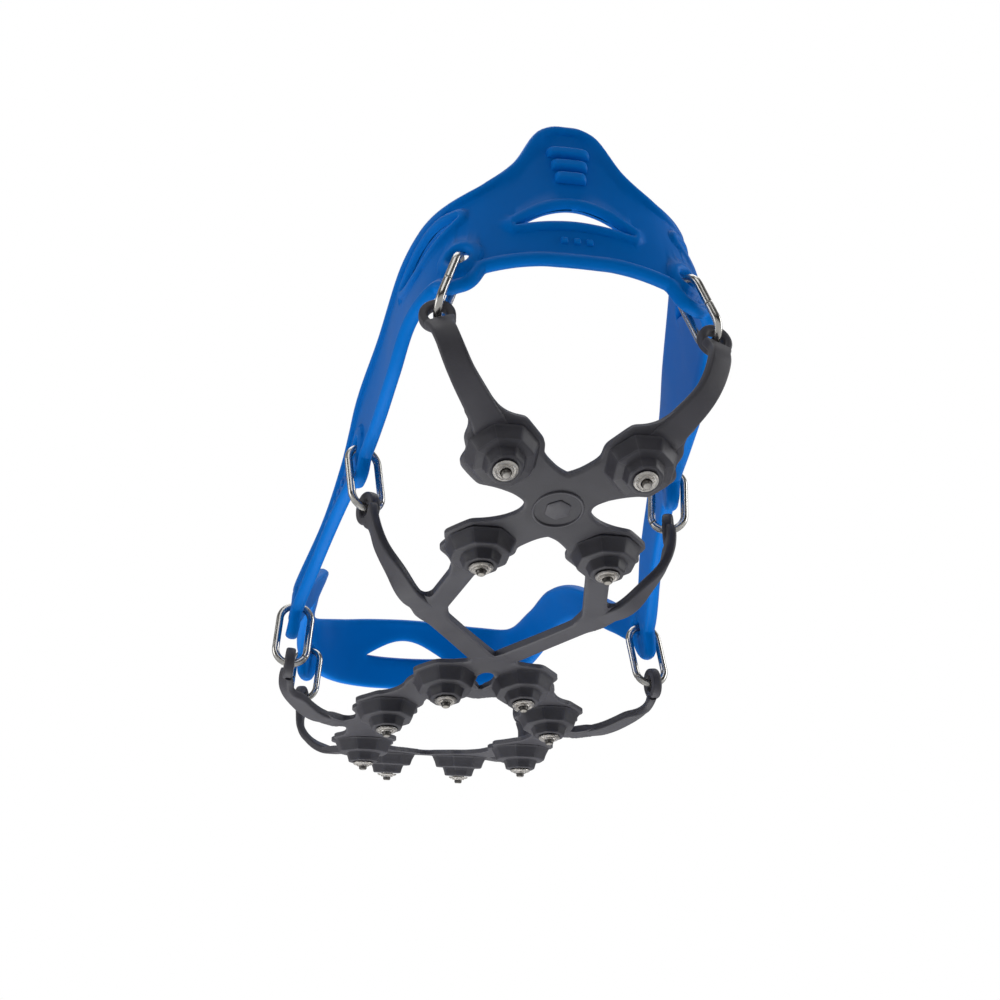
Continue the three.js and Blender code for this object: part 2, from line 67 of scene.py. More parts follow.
# The harness, right half, heel to toe: a point of the line through the link holes, the lean of the band's
# height, its lower and upper edge above that line, and the hole's name.
HARNESS_STATIONS = [
    ((0, -112.6, 65), (0, 0.07), -2.7, 47.4, ""),
    ((5, -112.5, 65), (-0.01, 0.07), -2.7, 47, ""),
    ((10, -112.3, 65), (-0.02, 0.07), -2.8, 43.4, ""),
    ((17, -111.6, 65), (-0.06, 0.08), -3.8, 33, ""),
    ((24.5, -110, 65), (-0.1, 0.09), -5.6, 26.8, ""),
    ((30, -107.6, 65), (-0.14, 0.1), -7.4, 24, "heel"),
    ((35.4, -102.2, 64.6), (-0.18, 0.08), -9, 23.2, ""),
    ((38.9, -93, 63.4), (-0.18, 0.04), -10, 25, ""),
    ((41, -77, 60.4), (-0.12, 0), -12, 26, ""),
    ((42.8, -56, 56), (-0.08, 0), -10.5, 20.5, ""),
    ((45, -36, 51.8), (-0.02, 0), -7.5, 15.6, "mid"),
    ((47.6, -16, 47.8), (-0.14, 0), -5.4, 10.2, ""),
    ((50.4, 4, 43.6), (-0.22, 0), -5, 7.4, ""),
    ((54.6, 33, 37.8), (-0.14, 0), -5.4, 7.4, "ball"),
    ((49.6, 49, 49.5), (-0.25, 0), -5.6, 7.6, ""),
    ((44.6, 64, 62), (-0.36, -0.05), -5.6, 7.6, ""),
    ((42.6, 86, 71.5), (-0.4, -0.08), -5.4, 8.4, ""),
    ((42, 112, 75.6), (-0.3, -0.1), -5, 10, ""),
    ((38, 137, 77.2), (-0.12, -0.06), -5, 13.5, "toe"),
    ((27, 151, 78.4), (-0.16, -0.4), -5, 18, ""),
    ((14, 158, 79.4), (-0.08, -0.62), -4.6, 21, ""),
    ((0, 160, 79.8), (0, -0.7), -4.2, 22, ""),
]
EYE_OUTWARD = {"heel": 6.6, "mid": -1.6, "ball": 2.3, "toe": 2.4}
LINK_TURN = {"heel": 22, "mid": 14, "ball": 0, "toe": 0}

# ---------------------------------------------------------------- meshes


def unit(vectors):
    return vectors / np.maximum(np.linalg.norm(vectors, axis=-1, keepdims=True), 1e-12)


def mix(a, b, t):
    return a + (b - a) * t


def ease(low, high, value):
    """A smooth step: 0 below low, 1 above high."""
    t = np.clip((value - low) / (high - low), 0, 1)
    return t * t * (3 - 2 * t)


def grid_faces(rows, columns, wrap_rows=False, wrap_columns=False, start=0):
    """Quads of a grid of vertices numbered row by row; either direction may close on itself."""
    i, j = np.meshgrid(np.arange(rows if wrap_rows else rows - 1),
                       np.arange(columns if wrap_columns else columns - 1), indexing="ij")
    up, side = (i + 1) % rows, (j + 1) % columns
    corners = [i * columns + j, i * columns + side, up * columns + side, up * columns + j]
    return start + np.stack(corners, -1).reshape(-1, 4)


class Shape:
    """Vertices in millimetres, faces, and one value for each vertex that its finish reads."""

    def __init__(self):
        self.points, self.faces, self.values, self.count = [], [], [], 0

    def grid(self, points, wrap_rows=False, wrap_columns=False, value=0.0):
        """Adds a rows x columns x 3 array of points as a skin."""
        rows, columns = points.shape[:2]
        self.faces.extend(grid_faces(rows, columns, wrap_rows, wrap_columns, self.count).tolist())
        self.loose(points.reshape(-1, 3), np.broadcast_to(value, (rows, columns)).reshape(-1))
        return self

    def loose(self, points, value):
        self.points.append(points)
        self.values.append(np.broadcast_to(value, (len(points),)))
        self.count += len(points)

    def tube(self, rings, closed, value=0.0):
        """Adds rings of points, rows x columns x 3, closed to a loop or ended with fans."""
        rows, columns = rings.shape[:2]
        self.grid(rings, wrap_rows=closed, wrap_columns=True, value=value)
        if not closed:
            start = self.count - rows * columns
            for first, ring in ((start, rings[0]), (self.count - columns, rings[-1])):
                middle = self.count
                self.loose(ring.mean(0)[None], np.ravel(np.asarray(value, float))[-1])
                around = np.arange(columns)
                fan = np.stack([first + around, first + (around + 1) % columns, np.full(columns, middle)], -1)
                self.faces.extend(fan.tolist())
        return self

    def mirror(self):
        """Adds the same shape on the other side of x = 0."""
        points, values = np.concatenate(self.points), np.concatenate(self.values)
        shift = self.count
        self.faces.extend([[v + shift for v in reversed(face)] for face in self.faces])
        self.loose(points * (-1, 1, 1), values)
        return self

    def piece(self, name, material, body, slot, sharp=40, stands_for=()):
        """The finished object: doubles merged, faces out, smooth but for edges sharper than sharp degrees."""
        mesh = bpy.data.meshes.new(name)
        mesh.from_pydata((np.concatenate(self.points) * MM).tolist(), [], self.faces)
        finish_value = mesh.attributes.new("finish", "FLOAT", "POINT")
        finish_value.data.foreach_set("value", np.concatenate(self.values).astype(np.float32))
        work = bmesh.new()
        work.from_mesh(mesh)
        bmesh.ops.remove_doubles(work, verts=work.verts, dist=2e-7)
        bmesh.ops.dissolve_degenerate(work, edges=work.edges, dist=1e-8)
        bmesh.ops.recalc_face_normals(work, faces=work.faces)
        work.to_mesh(mesh)
        work.free()
        mesh.polygons.foreach_set("use_smooth", np.ones(len(mesh.polygons), bool))
        mesh.set_sharp_from_angle(angle=math.radians(sharp))
        mesh.materials.append(material)
        made = bpy.data.objects.new(name, mesh)
        bpy.context.scene.collection.objects.link(made)
        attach(made, body)
        if stands_for:
            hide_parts(*stands_for)
        return made


# ---------------------------------------------------------------- curves


def cubic(a, b, c, d, w):
    """Centripetal Catmull-Rom between b and c: the point and the direction at weight w."""
    def gap(p, q):
        return np.maximum(np.sum((p - q) ** 2, axis=1, keepdims=True) ** 0.25, 1e-4)
    before, here, after = gap(a, b), gap(b, c), gap(c, d)
    start = ((b - a) / before - (c - a) / (before + here) + (c - b) / here) * here
    end = ((c - b) / here - (d - b) / (here + after) + (d - c) / after) * here
    second = 3 * (c - b) - 2 * start - end
    third = 2 * (b - c) + start + end
    point = b + w * (start + w * (second + w * third))
    return point, start + w * (2 * second + 3 * w * third)


def along_points(points, t):
    """An open smooth curve through points, at shares t of its stretches: places and unit directions."""
    points = np.asarray(points, float)
    ends = np.concatenate([[2 * points[0] - points[1]], points, [2 * points[-1] - points[-2]]])
    place = np.clip(t, 0, 1) * (len(points) - 1)
    i = np.minimum(place.astype(int), len(points) - 2)
    point, ahead = cubic(ends[i], ends[i + 1], ends[i + 2], ends[i + 3], (place - i)[:, None])
    return point, unit(ahead)


# ---------------------------------------------------------------- the rocker


def rocker(x, station, lift):
    """Points on the web's underside, lifted into the shoe: flat under the arch, arcs to heel and toe."""
    heel = np.maximum(0, ROCKER["heel_start"] - station)
    toe = np.maximum(0, np.minimum(station, ROCKER["toe_end"]) - ROCKER["toe_start"])
    beyond = np.maximum(0, station - ROCKER["toe_end"])
    height = (STACK + heel ** 2 / (2 * ROCKER["heel_radius"]) + toe ** 2 / (2 * ROCKER["toe_radius"])
              + beyond * toe / ROCKER["toe_radius"])
    into = into_shoe(station)
    base = np.stack(np.broadcast_arrays(x, station - MIDDLE, height), -1)
    return base + into * np.asarray(lift)[..., None]


def into_shoe(station):
    """The direction square to the sole, into the shoe."""
    heel = np.maximum(0, ROCKER["heel_start"] - station)
    toe = np.maximum(0, np.minimum(station, ROCKER["toe_end"]) - ROCKER["toe_start"])
    angle = np.arctan(toe / ROCKER["toe_radius"] - heel / ROCKER["heel_radius"])
    return np.stack(np.broadcast_arrays(0.0 * angle, -np.sin(angle), np.cos(angle)), -1)


def on_lug(x, station, across, ahead, up):
    """Points in a lug's own axes: across the shoe, ahead along the sole and up into the shoe."""
    into = into_shoe(np.float64(station))
    forward = np.array([0, into[2], -into[1]])
    sideways = np.array([1.0, 0, 0])
    seat = rocker(np.float64(x), np.float64(station), np.float64(0))
    return seat + across[..., None] * sideways + ahead[..., None] * forward + up[..., None] * into


# ---------------------------------------------------------------- the harness's surface

HALF = len(HARNESS_STATIONS) - 1


def flip(stop):
    """A station's twin on the left side."""
    (x, y, z), (right, forward), low, high, hole = stop
    return (-x, y, z), (-right, forward), low, high, hole


LOOP = HARNESS_STATIONS + [flip(s) for s in HARNESS_STATIONS[HALF - 1:0:-1]]
LINE = np.array([s[0] for s in LOOP], float) - (0, MIDDLE, 0)
LEANS_EDGES = np.array([(*s[1], s[2], s[3]) for s in LOOP], float)


def line_at(place):
    """Points and directions of the closed line through the link holes, at whole and part station numbers."""
    i = np.floor(place).astype(int)
    a, b, c, d = (LINE[(i + k) % len(LOOP)] for k in (-1, 0, 1, 2))
    return cubic(a, b, c, d, (place - i)[:, None])


STEPS = 24  # samples for each station when the line's length is measured
PLACES = np.arange(len(LOOP) * STEPS + 1) / STEPS
LENGTHS = np.concatenate([[0], np.cumsum(np.linalg.norm(np.diff(line_at(PLACES)[0], axis=0), axis=1))])
LOOP_LENGTH = LENGTHS[-1]


def band_at(distance):
    """The band at distances from the heel's middle: its line, up and out directions, and its edges."""
    place = np.interp(np.mod(distance, LOOP_LENGTH), LENGTHS, PLACES)
    origin, ahead = line_at(place)
    i = np.floor(place).astype(int)
    t = (place - i)[:, None]
    a, b, c, d = (LEANS_EDGES[(i + k) % len(LOOP)] for k in (-1, 0, 1, 2))
    lean = b + 0.5 * t * (c - a + t * (2 * a - 5 * b + 4 * c - d + t * (3 * (b - c) + d - a)))
    up = unit(np.column_stack([lean[:, :2], np.ones(len(lean))]))
    return origin, up, unit(np.cross(unit(ahead), up)), lean[:, 2], lean[:, 3]


HOLES = [(s[4], LENGTHS[i * STEPS]) for i, s in enumerate(LOOP) if s[4]]


def away(distance, centre):
    """Signed distance along the closed line from a centre."""
    return np.mod(distance - centre + LOOP_LENGTH / 2, LOOP_LENGTH) - LOOP_LENGTH / 2


def lower_edge(distance, low):
    """The lower edge, with a rounded lobe below each link hole that runs into it with a fillet."""
    edge = low.copy()
    fillet, beside = 2.2, 30  # beside a lobe its outline rises this steeply out of the way
    for _, hole in HOLES:
        off = np.abs(away(distance, hole)) / LOBE["half_width"]
        lobe = -LOBE["drop"] * np.clip(1 - off ** 2.6, 0, 1) ** (1 / 2.2)
        lobe = np.where(off < 1, lobe, (off - 1) * beside)
        near = np.clip(fillet - np.abs(edge - lobe), 0, None) / fillet
        edge = np.minimum(edge, lobe) - near ** 2 * fillet / 4
    return edge


# Slots: the middle, the half length, the height at each end and how far the arcs rise and fall.
HEEL_HOLE = next(distance for name, distance in HOLES if name == "heel")
SLOTS = [
    (0.0, 16.0, 10.2, 10.2, 7.0, -2.1),
    (LOOP_LENGTH / 2, 15.0, 7.5, 7.5, 6.5, 0.0),
    (HEEL_HOLE + 16.75, 14.75, 15.4, 14.8, 2.0, 6.4),
    (-HEEL_HOLE - 16.75, 14.75, 14.8, 15.4, 2.0, 6.4),
]
# The line that the slots open along, as distance and height, heel to toe.
SLOT_LINE = [(0, 10.2), (16, 10.2), (HEEL_HOLE + 2, 15.4), (HEEL_HOLE + 31.5, 14.8), (88, 8.4), (107, 6.6),
             (178, 4.6), (240, 4.2), (295, 6.2), (LOOP_LENGTH / 2 - 15, 7.5), (LOOP_LENGTH / 2, 7.5)]


def slit(distance, kind):
    """Lower and upper side of the link holes' or the slots' line: apart where it is open, else the same."""
    if kind == "holes":
        middle = np.zeros_like(distance)
        lower, upper = middle.copy(), middle.copy()
        for _, hole in HOLES:
            half = np.sqrt(np.clip(EYE_HOLE ** 2 - away(distance, hole) ** 2, 0, None))
            lower, upper = lower - half, upper + half
        return lower, upper
    folded = np.abs(away(distance, 0.0))
    middle = np.interp(folded, *zip(*SLOT_LINE))
    lower, upper = middle.copy(), middle.copy()
    for centre, half, start, end, rise, fall in SLOTS:
        t = away(distance, centre) / (2 * half) + 0.5
        inside = (t > 0) & (t < 1)
        bulge = np.sin(np.pi * np.clip(t, 0, 1))
        base = mix(start, end, t)
        lower = np.where(inside, base - fall * bulge, lower)
        upper = np.where(inside, base + rise * bulge, upper)
    return lower, upper


def columns_of_harness():
    """Distances of the columns: even, and close by the holes, the lobes' sides and the slots' ends."""
    cuts = [np.arange(0, LOOP_LENGTH, 1.3)]
    for _, hole in HOLES:
        cuts.append(hole + EYE_HOLE * np.cos(np.linspace(0, np.pi, 17)))
        cuts.append(hole + np.arange(-8, 8.1, 0.55))
        for side in (-1, 1):
            cuts.append(hole + side * (LOBE["half_width"] + np.linspace(-1.2, 1.2, 9)))
    for centre, half, *_ in SLOTS:
        for side in (-1, 1):
            cuts.append(centre + side * (half + np.array([-2.4, -1.6, -1.0, -0.5, -0.2, 0, 0.25, 0.7, 1.3])))
    exact = np.concatenate([[hole + side * EYE_HOLE for _, hole in HOLES for side in (-1, 1)],
                            [centre + side * half for centre, half, *_ in SLOTS for side in (-1, 1)]])
    exact = np.mod(exact, LOOP_LENGTH)
    every = np.sort(np.mod(np.concatenate(cuts), LOOP_LENGTH))
    narrowest = 0.13
    close = np.min(np.abs(every[:, None] - exact[None]), axis=1) < narrowest + 0.01
    every = np.sort(np.concatenate([every[~close], exact]))
    keep = [every[0]]
    for cut in every[1:]:
        if cut - keep[-1] > narrowest:
            keep.append(cut)
    return np.array(keep)


def rows_between(lower, upper, near, middle):
    """Heights of a zone's rows: near gives distances from both edges, squeezed where the zone is low."""
    near = np.asarray(near)
    tall = (upper - lower)[:, None]
    squeeze = np.minimum(1, tall / (2 * near[-1] + 1.0))
    from_low = lower[:, None] + near * squeeze
    from_high = upper[:, None] - near[::-1] * squeeze
    t = (np.arange(middle) + 1) / (middle + 1)
    between = mix(from_low[:, -1:], from_high[:, :1], t)
    return np.concatenate([from_low, between, from_high], axis=1)


def edge_distances(distance, heights, outlines):
    """For each point of each column, how far the nearest edge is, over straight pieces of the outlines."""
    far = 7.0
    result = np.full(heights.shape, far)
    starts = np.concatenate([line[:-1] for line in outlines])
    ends = np.concatenate([line[1:] for line in outlines])
    run = ends - starts
    square = np.maximum(np.sum(run ** 2, axis=1), 1e-12)
    for i, s in enumerate(distance):
        off = away(starts[:, 0], s)
        close = np.abs(off) < far
        ahead = -off[close]
        up = heights[i][:, None] - starts[close, 1]
        t = np.clip((ahead * run[close, 0] + up * run[close, 1]) / square[close], 0, 1)
        gap = np.hypot(ahead - t * run[close, 0], up - t * run[close, 1])
        result[i] = np.minimum(result[i], gap.min(axis=1))
    return result


def band_faces(gap, to_hole):
    """Outer and inner face above the band's middle at a distance from the edge: half-round beads along every
    edge, a low disc round each link hole, and quarter rounds into the edge itself."""
    half, middle = BAND["thickness"] / 2, BAND["bead"] / 2
    face, crest = half - BAND["sunk"], half + BAND["bead"]
    disc_height, disc_radius, disc_slope = 0.72, 5.7, 0.5
    outer_radius, inner_radius = 1.2, 1.1
    centre = BAND["bead_width"] / 2 - 0.1
    bead = np.sqrt(np.clip(1 - ((gap - centre) / (centre + 0.25)) ** 2, 0, 1))
    disc = disc_height * (1 - ease(disc_radius, disc_radius + disc_slope, to_hole))
    raised = face + (crest - face) * np.maximum(bead, disc)
    outer_round = np.sqrt(1 - (1 - np.clip(gap / outer_radius, 0, 1)) ** 2)
    inner_round = np.sqrt(1 - (1 - np.clip(gap / inner_radius, 0, 1)) ** 2)
    return mix(middle, raised, outer_round), mix(middle, -half, inner_round)


def on_band(distance, height, outward):
    """Points of the band for arrays of one shape: along it, up it and out of it."""
    shape = np.broadcast_shapes(np.shape(distance), np.shape(height), np.shape(outward))
    s, h, n = (np.broadcast_to(a, shape).reshape(-1) for a in (distance, height, outward))
    origin, up, out, _, _ = band_at(s)
    return (origin + up * h[:, None] + out * n[:, None]).reshape(*shape, 3)


def make_harness(material):
    """The closed band, as three zones of height that the holes and the slots open between, each with an outer
    and an inner face that meet on the zone's edges."""
    distance = columns_of_harness()
    _, _, _, low, high = band_at(distance)
    low = lower_edge(distance, low)
    holes, slots = slit(distance, "holes"), slit(distance, "slots")
    outlines = [np.column_stack([distance, edge]) for edge in (low, high)]
    openings = {"holes": [(hole, EYE_HOLE) for _, hole in HOLES], "slots": [slot[:2] for slot in SLOTS]}
    for kind, centres in openings.items():
        for centre, half in centres:
            s = centre + half * np.cos(np.linspace(np.pi, 0, 41))
            lower, upper = slit(s, kind)
            outlines += [np.column_stack([s, lower]), np.column_stack([s, upper])]
    zones = [(low, holes[0], 1), (holes[1], slots[0], 1), (slots[1], high, 5)]
    shape = Shape()
    for lower, upper, middle in zones:
        for outer in (True, False):
            near = [0, 0.15, 0.55, 1.2, 2.0, 2.7, 3.1, 3.3, 3.9] if outer else [0, 0.15, 0.5, 1.2]
            heights = rows_between(lower, upper, near, middle)
            gap = edge_distances(distance, heights, outlines)
            along = np.min([np.abs(away(distance, hole)) for _, hole in HOLES], axis=0)
            faces = band_faces(gap, np.hypot(along[:, None], heights))[0 if outer else 1]
            points = on_band(distance[:, None], heights, faces)
            shape.grid(points, wrap_rows=True, value=gap)
    shape.piece("harness_moulding", material, "harness", "elastomer", sharp=60, stands_for=["harness"])


def raised_pad(shape, distance, height, half_width, half_height, rise, slant=0.0):
    """A soft-edged pad that stands on the band: a square grid whose height falls off with the sixth power of
    the way to its sides, closed by a flat sheet inside the band."""
    u, v = np.meshgrid(np.sin(np.linspace(-1, 1, 21) * np.pi / 2), np.sin(np.linspace(-1, 1, 15) * np.pi / 2),
                       indexing="ij")
    fall = ((1 - np.abs(u) ** 6) * (1 - np.abs(v) ** 6)) ** 0.5
    s = distance + u * half_width * (1 - 0.05 * np.abs(v)) + slant * v * half_height
    h = height + v * half_height
    floor = BAND["thickness"] / 2 - 0.7
    shape.grid(on_band(s, h, floor + (rise + 0.3) * fall))
    shape.grid(on_band(s, h, floor - 0.4 * (fall > 0)))


def make_harness_relief(material):
    """Three grip ribs on the pull tab, three pips for the size, and a row of slanted bars on each side."""
    grip = Shape()
    ribs = [(36.9, 12.9), (32.3, 10.9), (27.7, 9.3)]  # height and width
    rib_half_height, rib_rise = 1.6, 1.9
    for height, width in ribs:
        raised_pad(grip, 0.0, height, width / 2, rib_half_height, rib_rise)
    grip.piece("grip_ribs", material, "harness", "elastomer", sharp=60)
    pips = Shape()
    pip = {"height": 5.2, "half_width": 1.0, "half_height": 1.0, "rise": 0.7}
    for offset in (-3.4, 0, 3.4):
        raised_pad(pips, offset, **pip)
    pips.piece("size_pips", material, "harness", "elastomer", sharp=60)
    bars = Shape()
    mid = next(d for name, d in HOLES if name == "mid")
    ahead_of_hole, pitch, count = 13, 4.2, 7
    for side in (1, -1):
        for step in range(count):
            s = side * (mid + ahead_of_hole + pitch * step)
            height, half_height = 2.2 - 0.28 * step, 2.0 - 0.1 * step  # the bars shrink as the band narrows
            raised_pad(bars, s, height, 0.75, half_height, 0.65, slant=0.5 * side)
    bars.piece("side_bars", material, "harness", "elastomer", sharp=60)


# ---------------------------------------------------------------- links


def link_frame(name):
    """Where a right-hand link hangs: its hole, its eye, and its long and short directions."""
    distance = next(d for n, d in HOLES if n == name)
    origin, _, out, _, _ = (a[0] for a in band_at(np.array([distance])))
    turn = -math.radians(LINK_TURN[name])
    x, y, _ = unit(np.array([out[0], out[1], 0.0]))
    outward = np.array([x * math.cos(turn) - y * math.sin(turn), x * math.sin(turn) + y * math.cos(turn), 0])
    aside = EYE_OUTWARD[name]
    shift = np.array([aside, 0, -math.sqrt(LINK["length"] ** 2 - aside ** 2)])
    along = unit(-shift)
    across = unit(outward - along * (outward @ along))
    return {"top": origin, "eye": origin + shift, "along": along, "across": across}


FRAMES = {name: link_frame(name) for name in ("heel", "mid", "ball", "toe")}


def make_link(name, hand, material):
    """Round wire swept along an oval of two half circles and two straights, necked at its butt seam."""
    link = FRAMES[name]
    bend = LINK["width"] / 2
    straight = LINK["length"] / 2 - bend
    length = 2 * math.pi * bend + 4 * straight
    seam = 0.5 * math.pi * bend * 3 + 3 * straight if name in ("mid", "ball") else straight * 0.8
    s = np.sort(np.concatenate([np.linspace(0, length, 120, endpoint=False),
                                seam + np.array([-0.5, -0.3, -0.18, -0.08, 0.08, 0.18, 0.3, 0.5])]))
    quarter = math.pi * bend
    turn = np.where(s < 2 * straight, 0,
                    np.where(s < 2 * straight + quarter, (s - 2 * straight) / bend,
                             np.where(s < 4 * straight + quarter, math.pi,
                                      math.pi + (s - 4 * straight - quarter) / bend)))
    rise = np.where(s < 2 * straight, s - straight,
                    np.where(s < 2 * straight + quarter, straight,
                             np.where(s < 4 * straight + quarter, 3 * straight + quarter - s, -straight)))
    radial = np.cos(turn)[:, None] * link["across"] + np.sin(turn)[:, None] * link["along"]
    spot = (link["top"] + link["eye"]) / 2 + rise[:, None] * link["along"] + bend * radial
    side = np.cross(link["along"], link["across"])
    about = np.linspace(0, 2 * np.pi, 20, endpoint=False)
    gap = np.abs(s - seam)
    neck = LINK["wire_radius"] * (1 - 0.16 * np.exp(-(gap / 0.14) ** 2))
    ring = np.cos(about)[None, :, None] * radial[:, None] + np.sin(about)[None, :, None] * side
    points = spot[:, None] + neck[:, None, None] * ring
    if hand == "left":
        points = points * (-1, 1, 1)
    node = f"link_{name}_{hand}"
    Shape().tube(points, closed=True, value=np.broadcast_to(gap[:, None], points.shape[:2])).piece(
        f"wire_{node}", material, node, "stainless_wire", sharp=80, stands_for=[node])


# ---------------------------------------------------------------- the web's sheet


def segment(x, y, start, end, from_width, to_width):
    """Distance outside a tapering strap between two points, negative inside it."""
    (ax, ay), (bx, by) = start, end
    dx, dy = bx - ax, by - ay
    t = np.clip(((x - ax) * dx + (y - ay) * dy) / (dx * dx + dy * dy), 0, 1)
    return np.hypot(x - ax - t * dx, y - ay - t * dy) - mix(from_width, to_width, t) / 2


def chain(x, y, stops):
    """Distance outside a strap through (x, station, width) stops."""
    pairs = zip(stops[:-1], stops[1:])
    return np.min([segment(x, y, a[:2], b[:2], a[2], b[2]) for a, b in pairs], axis=0)


def melt(a, b, fillet):
    """The union of two distances with a fillet where they meet."""
    near = np.clip(fillet - np.abs(a - b), 0, None) / fillet
    return np.minimum(a, b) - near ** 2 * fillet / 4


def octagon(angle, power=26):
    """Radius of an eight-sided outline of half width 1, flats square to the axes, corners slightly round."""
    sides = [np.abs(np.cos(angle - k * np.pi / 4)) ** power for k in range(4)]
    return np.sum(sides, axis=0) ** (-1 / power)


def flange(x, y, lug):
    """Distance outside a lug's flange: an octagon with a scallop in each of its two side flats."""
    dx, dy = x - lug[0], y - lug[1]
    angle = np.arctan2(dy, dx)
    aside = np.abs(np.mod(angle + np.pi / 2, np.pi) - np.pi / 2)
    edge = FLANGE_WIDTH / 2 * octagon(angle) - 1.5 * np.exp(-(aside / 0.2) ** 2)
    return (np.hypot(dx, dy) - edge) * 0.95


HUB = (0.0, -76.5)
HUB_HALF = (7.4, 11.0)
HUB_CORNER = 3.0
# Plates and straps as (x, station, width) stops on the right half.
PLATES = [
    [(3.5, -82.2, 12.4), (18.2, -93.5, 15)],
    [(3.5, -71.4, 12), (17.2, -58.9, 15)],
    [(11.8, 20.3, 13), (19.5, 32.5, 11.6), (25.5, 44, 13)],
    [(25.8, 44, 12), (30.6, 64, 8.6), (26.4, 86, 12)],
    [(26.2, 86, 13), (20.5, 104, 10.8), (12.5, 120, 13)],
    [(12.5, 120, 12), (5, 123, 9), (0, 123.5, 8.6)],
    [(0, 10.4, 8), (6.5, 13.8, 8.5), (10.8, 19.5, 13)],
    [(10, 22, 10), (5, 27.6, 7), (0, 30.0, 6.4)],
]
STRAPS = [
    [(19, -95, 12), (25, -104, 8), (26.4, -105.7, 7.6)],
    [(17.8, -56, 10), (19.2, -42, 6.6), (23.4, -21.0, 6.4)],
    [(24.0, -20.6, 6.4), (13, -6.8, 6.4), (0, 9.2, 7.2)],
    [(22.8, -20.1, 6.4), (30.0, -27.8, 6.4)],
    [(29.5, 63, 8), (38, 61, 6.4), (45.2, 55.7, 6.4)],
    [(13.5, 121, 11), (23.5, 128, 7.4), (31.6, 133.4, 6.4)],
]
TAKEN_OVER = [STRAPS[i][-1] for i in (0, 3, 4, 5)]  # where an arm carries a strap on
CENTRE_HOLE = {"station": 19.2, "half_width": 2.9, "half_length": 5.1}


def centre_hole(x, y):
    """Distance outside the oval hole, from its implicit formula over its slope."""
    u, v = x / CENTRE_HOLE["half_width"], (y - CENTRE_HOLE["station"]) / CENTRE_HOLE["half_length"]
    level = np.hypot(u, v)
    slope = np.hypot(u / CENTRE_HOLE["half_width"], v / CENTRE_HOLE["half_length"]) / np.maximum(level, 1e-6)
    return (level - 1) / np.maximum(slope, 1e-6)


def sheet_distance(x, y):
    """Distance outside the web's flat outline, right half: flanges, plates and straps melted together."""
    x = np.abs(x)
    hub_fillet, plate_fillet, strap_fillet = 3.0, 4.0, 3.4
    body = np.min([flange(x, y, lug) for lug in LUG_STATIONS], axis=0)
    out_x, out_y = x - HUB_HALF[0] + HUB_CORNER, np.abs(y - HUB[1]) - HUB_HALF[1] + HUB_CORNER
    past_sides = np.hypot(np.maximum(out_x, 0), np.maximum(out_y, 0))
    hub = past_sides + np.minimum(np.maximum(out_x, out_y), 0) - HUB_CORNER
    body = melt(body, hub, hub_fillet)
    for stops in PLATES:
        body = melt(body, chain(x, y, stops), plate_fillet)
    for stops in STRAPS:
        body = melt(body, chain(x, y, stops), strap_fillet)
    return np.maximum(body, -centre_hole(x, y))


def strap_share(x, y):
    """1 on the thick straps and 0 on the flanges and plates, with a soft change."""
    x = np.abs(x)
    thin = np.min([flange(x, y, lug) for lug in LUG_STATIONS] + [chain(x, y, s) for s in PLATES], axis=0)
    thick = np.min([chain(x, y, s) for s in STRAPS], axis=0)
    return ease(0.3, 4.5, thin) * (1 - ease(0.0, 3.0, thick))


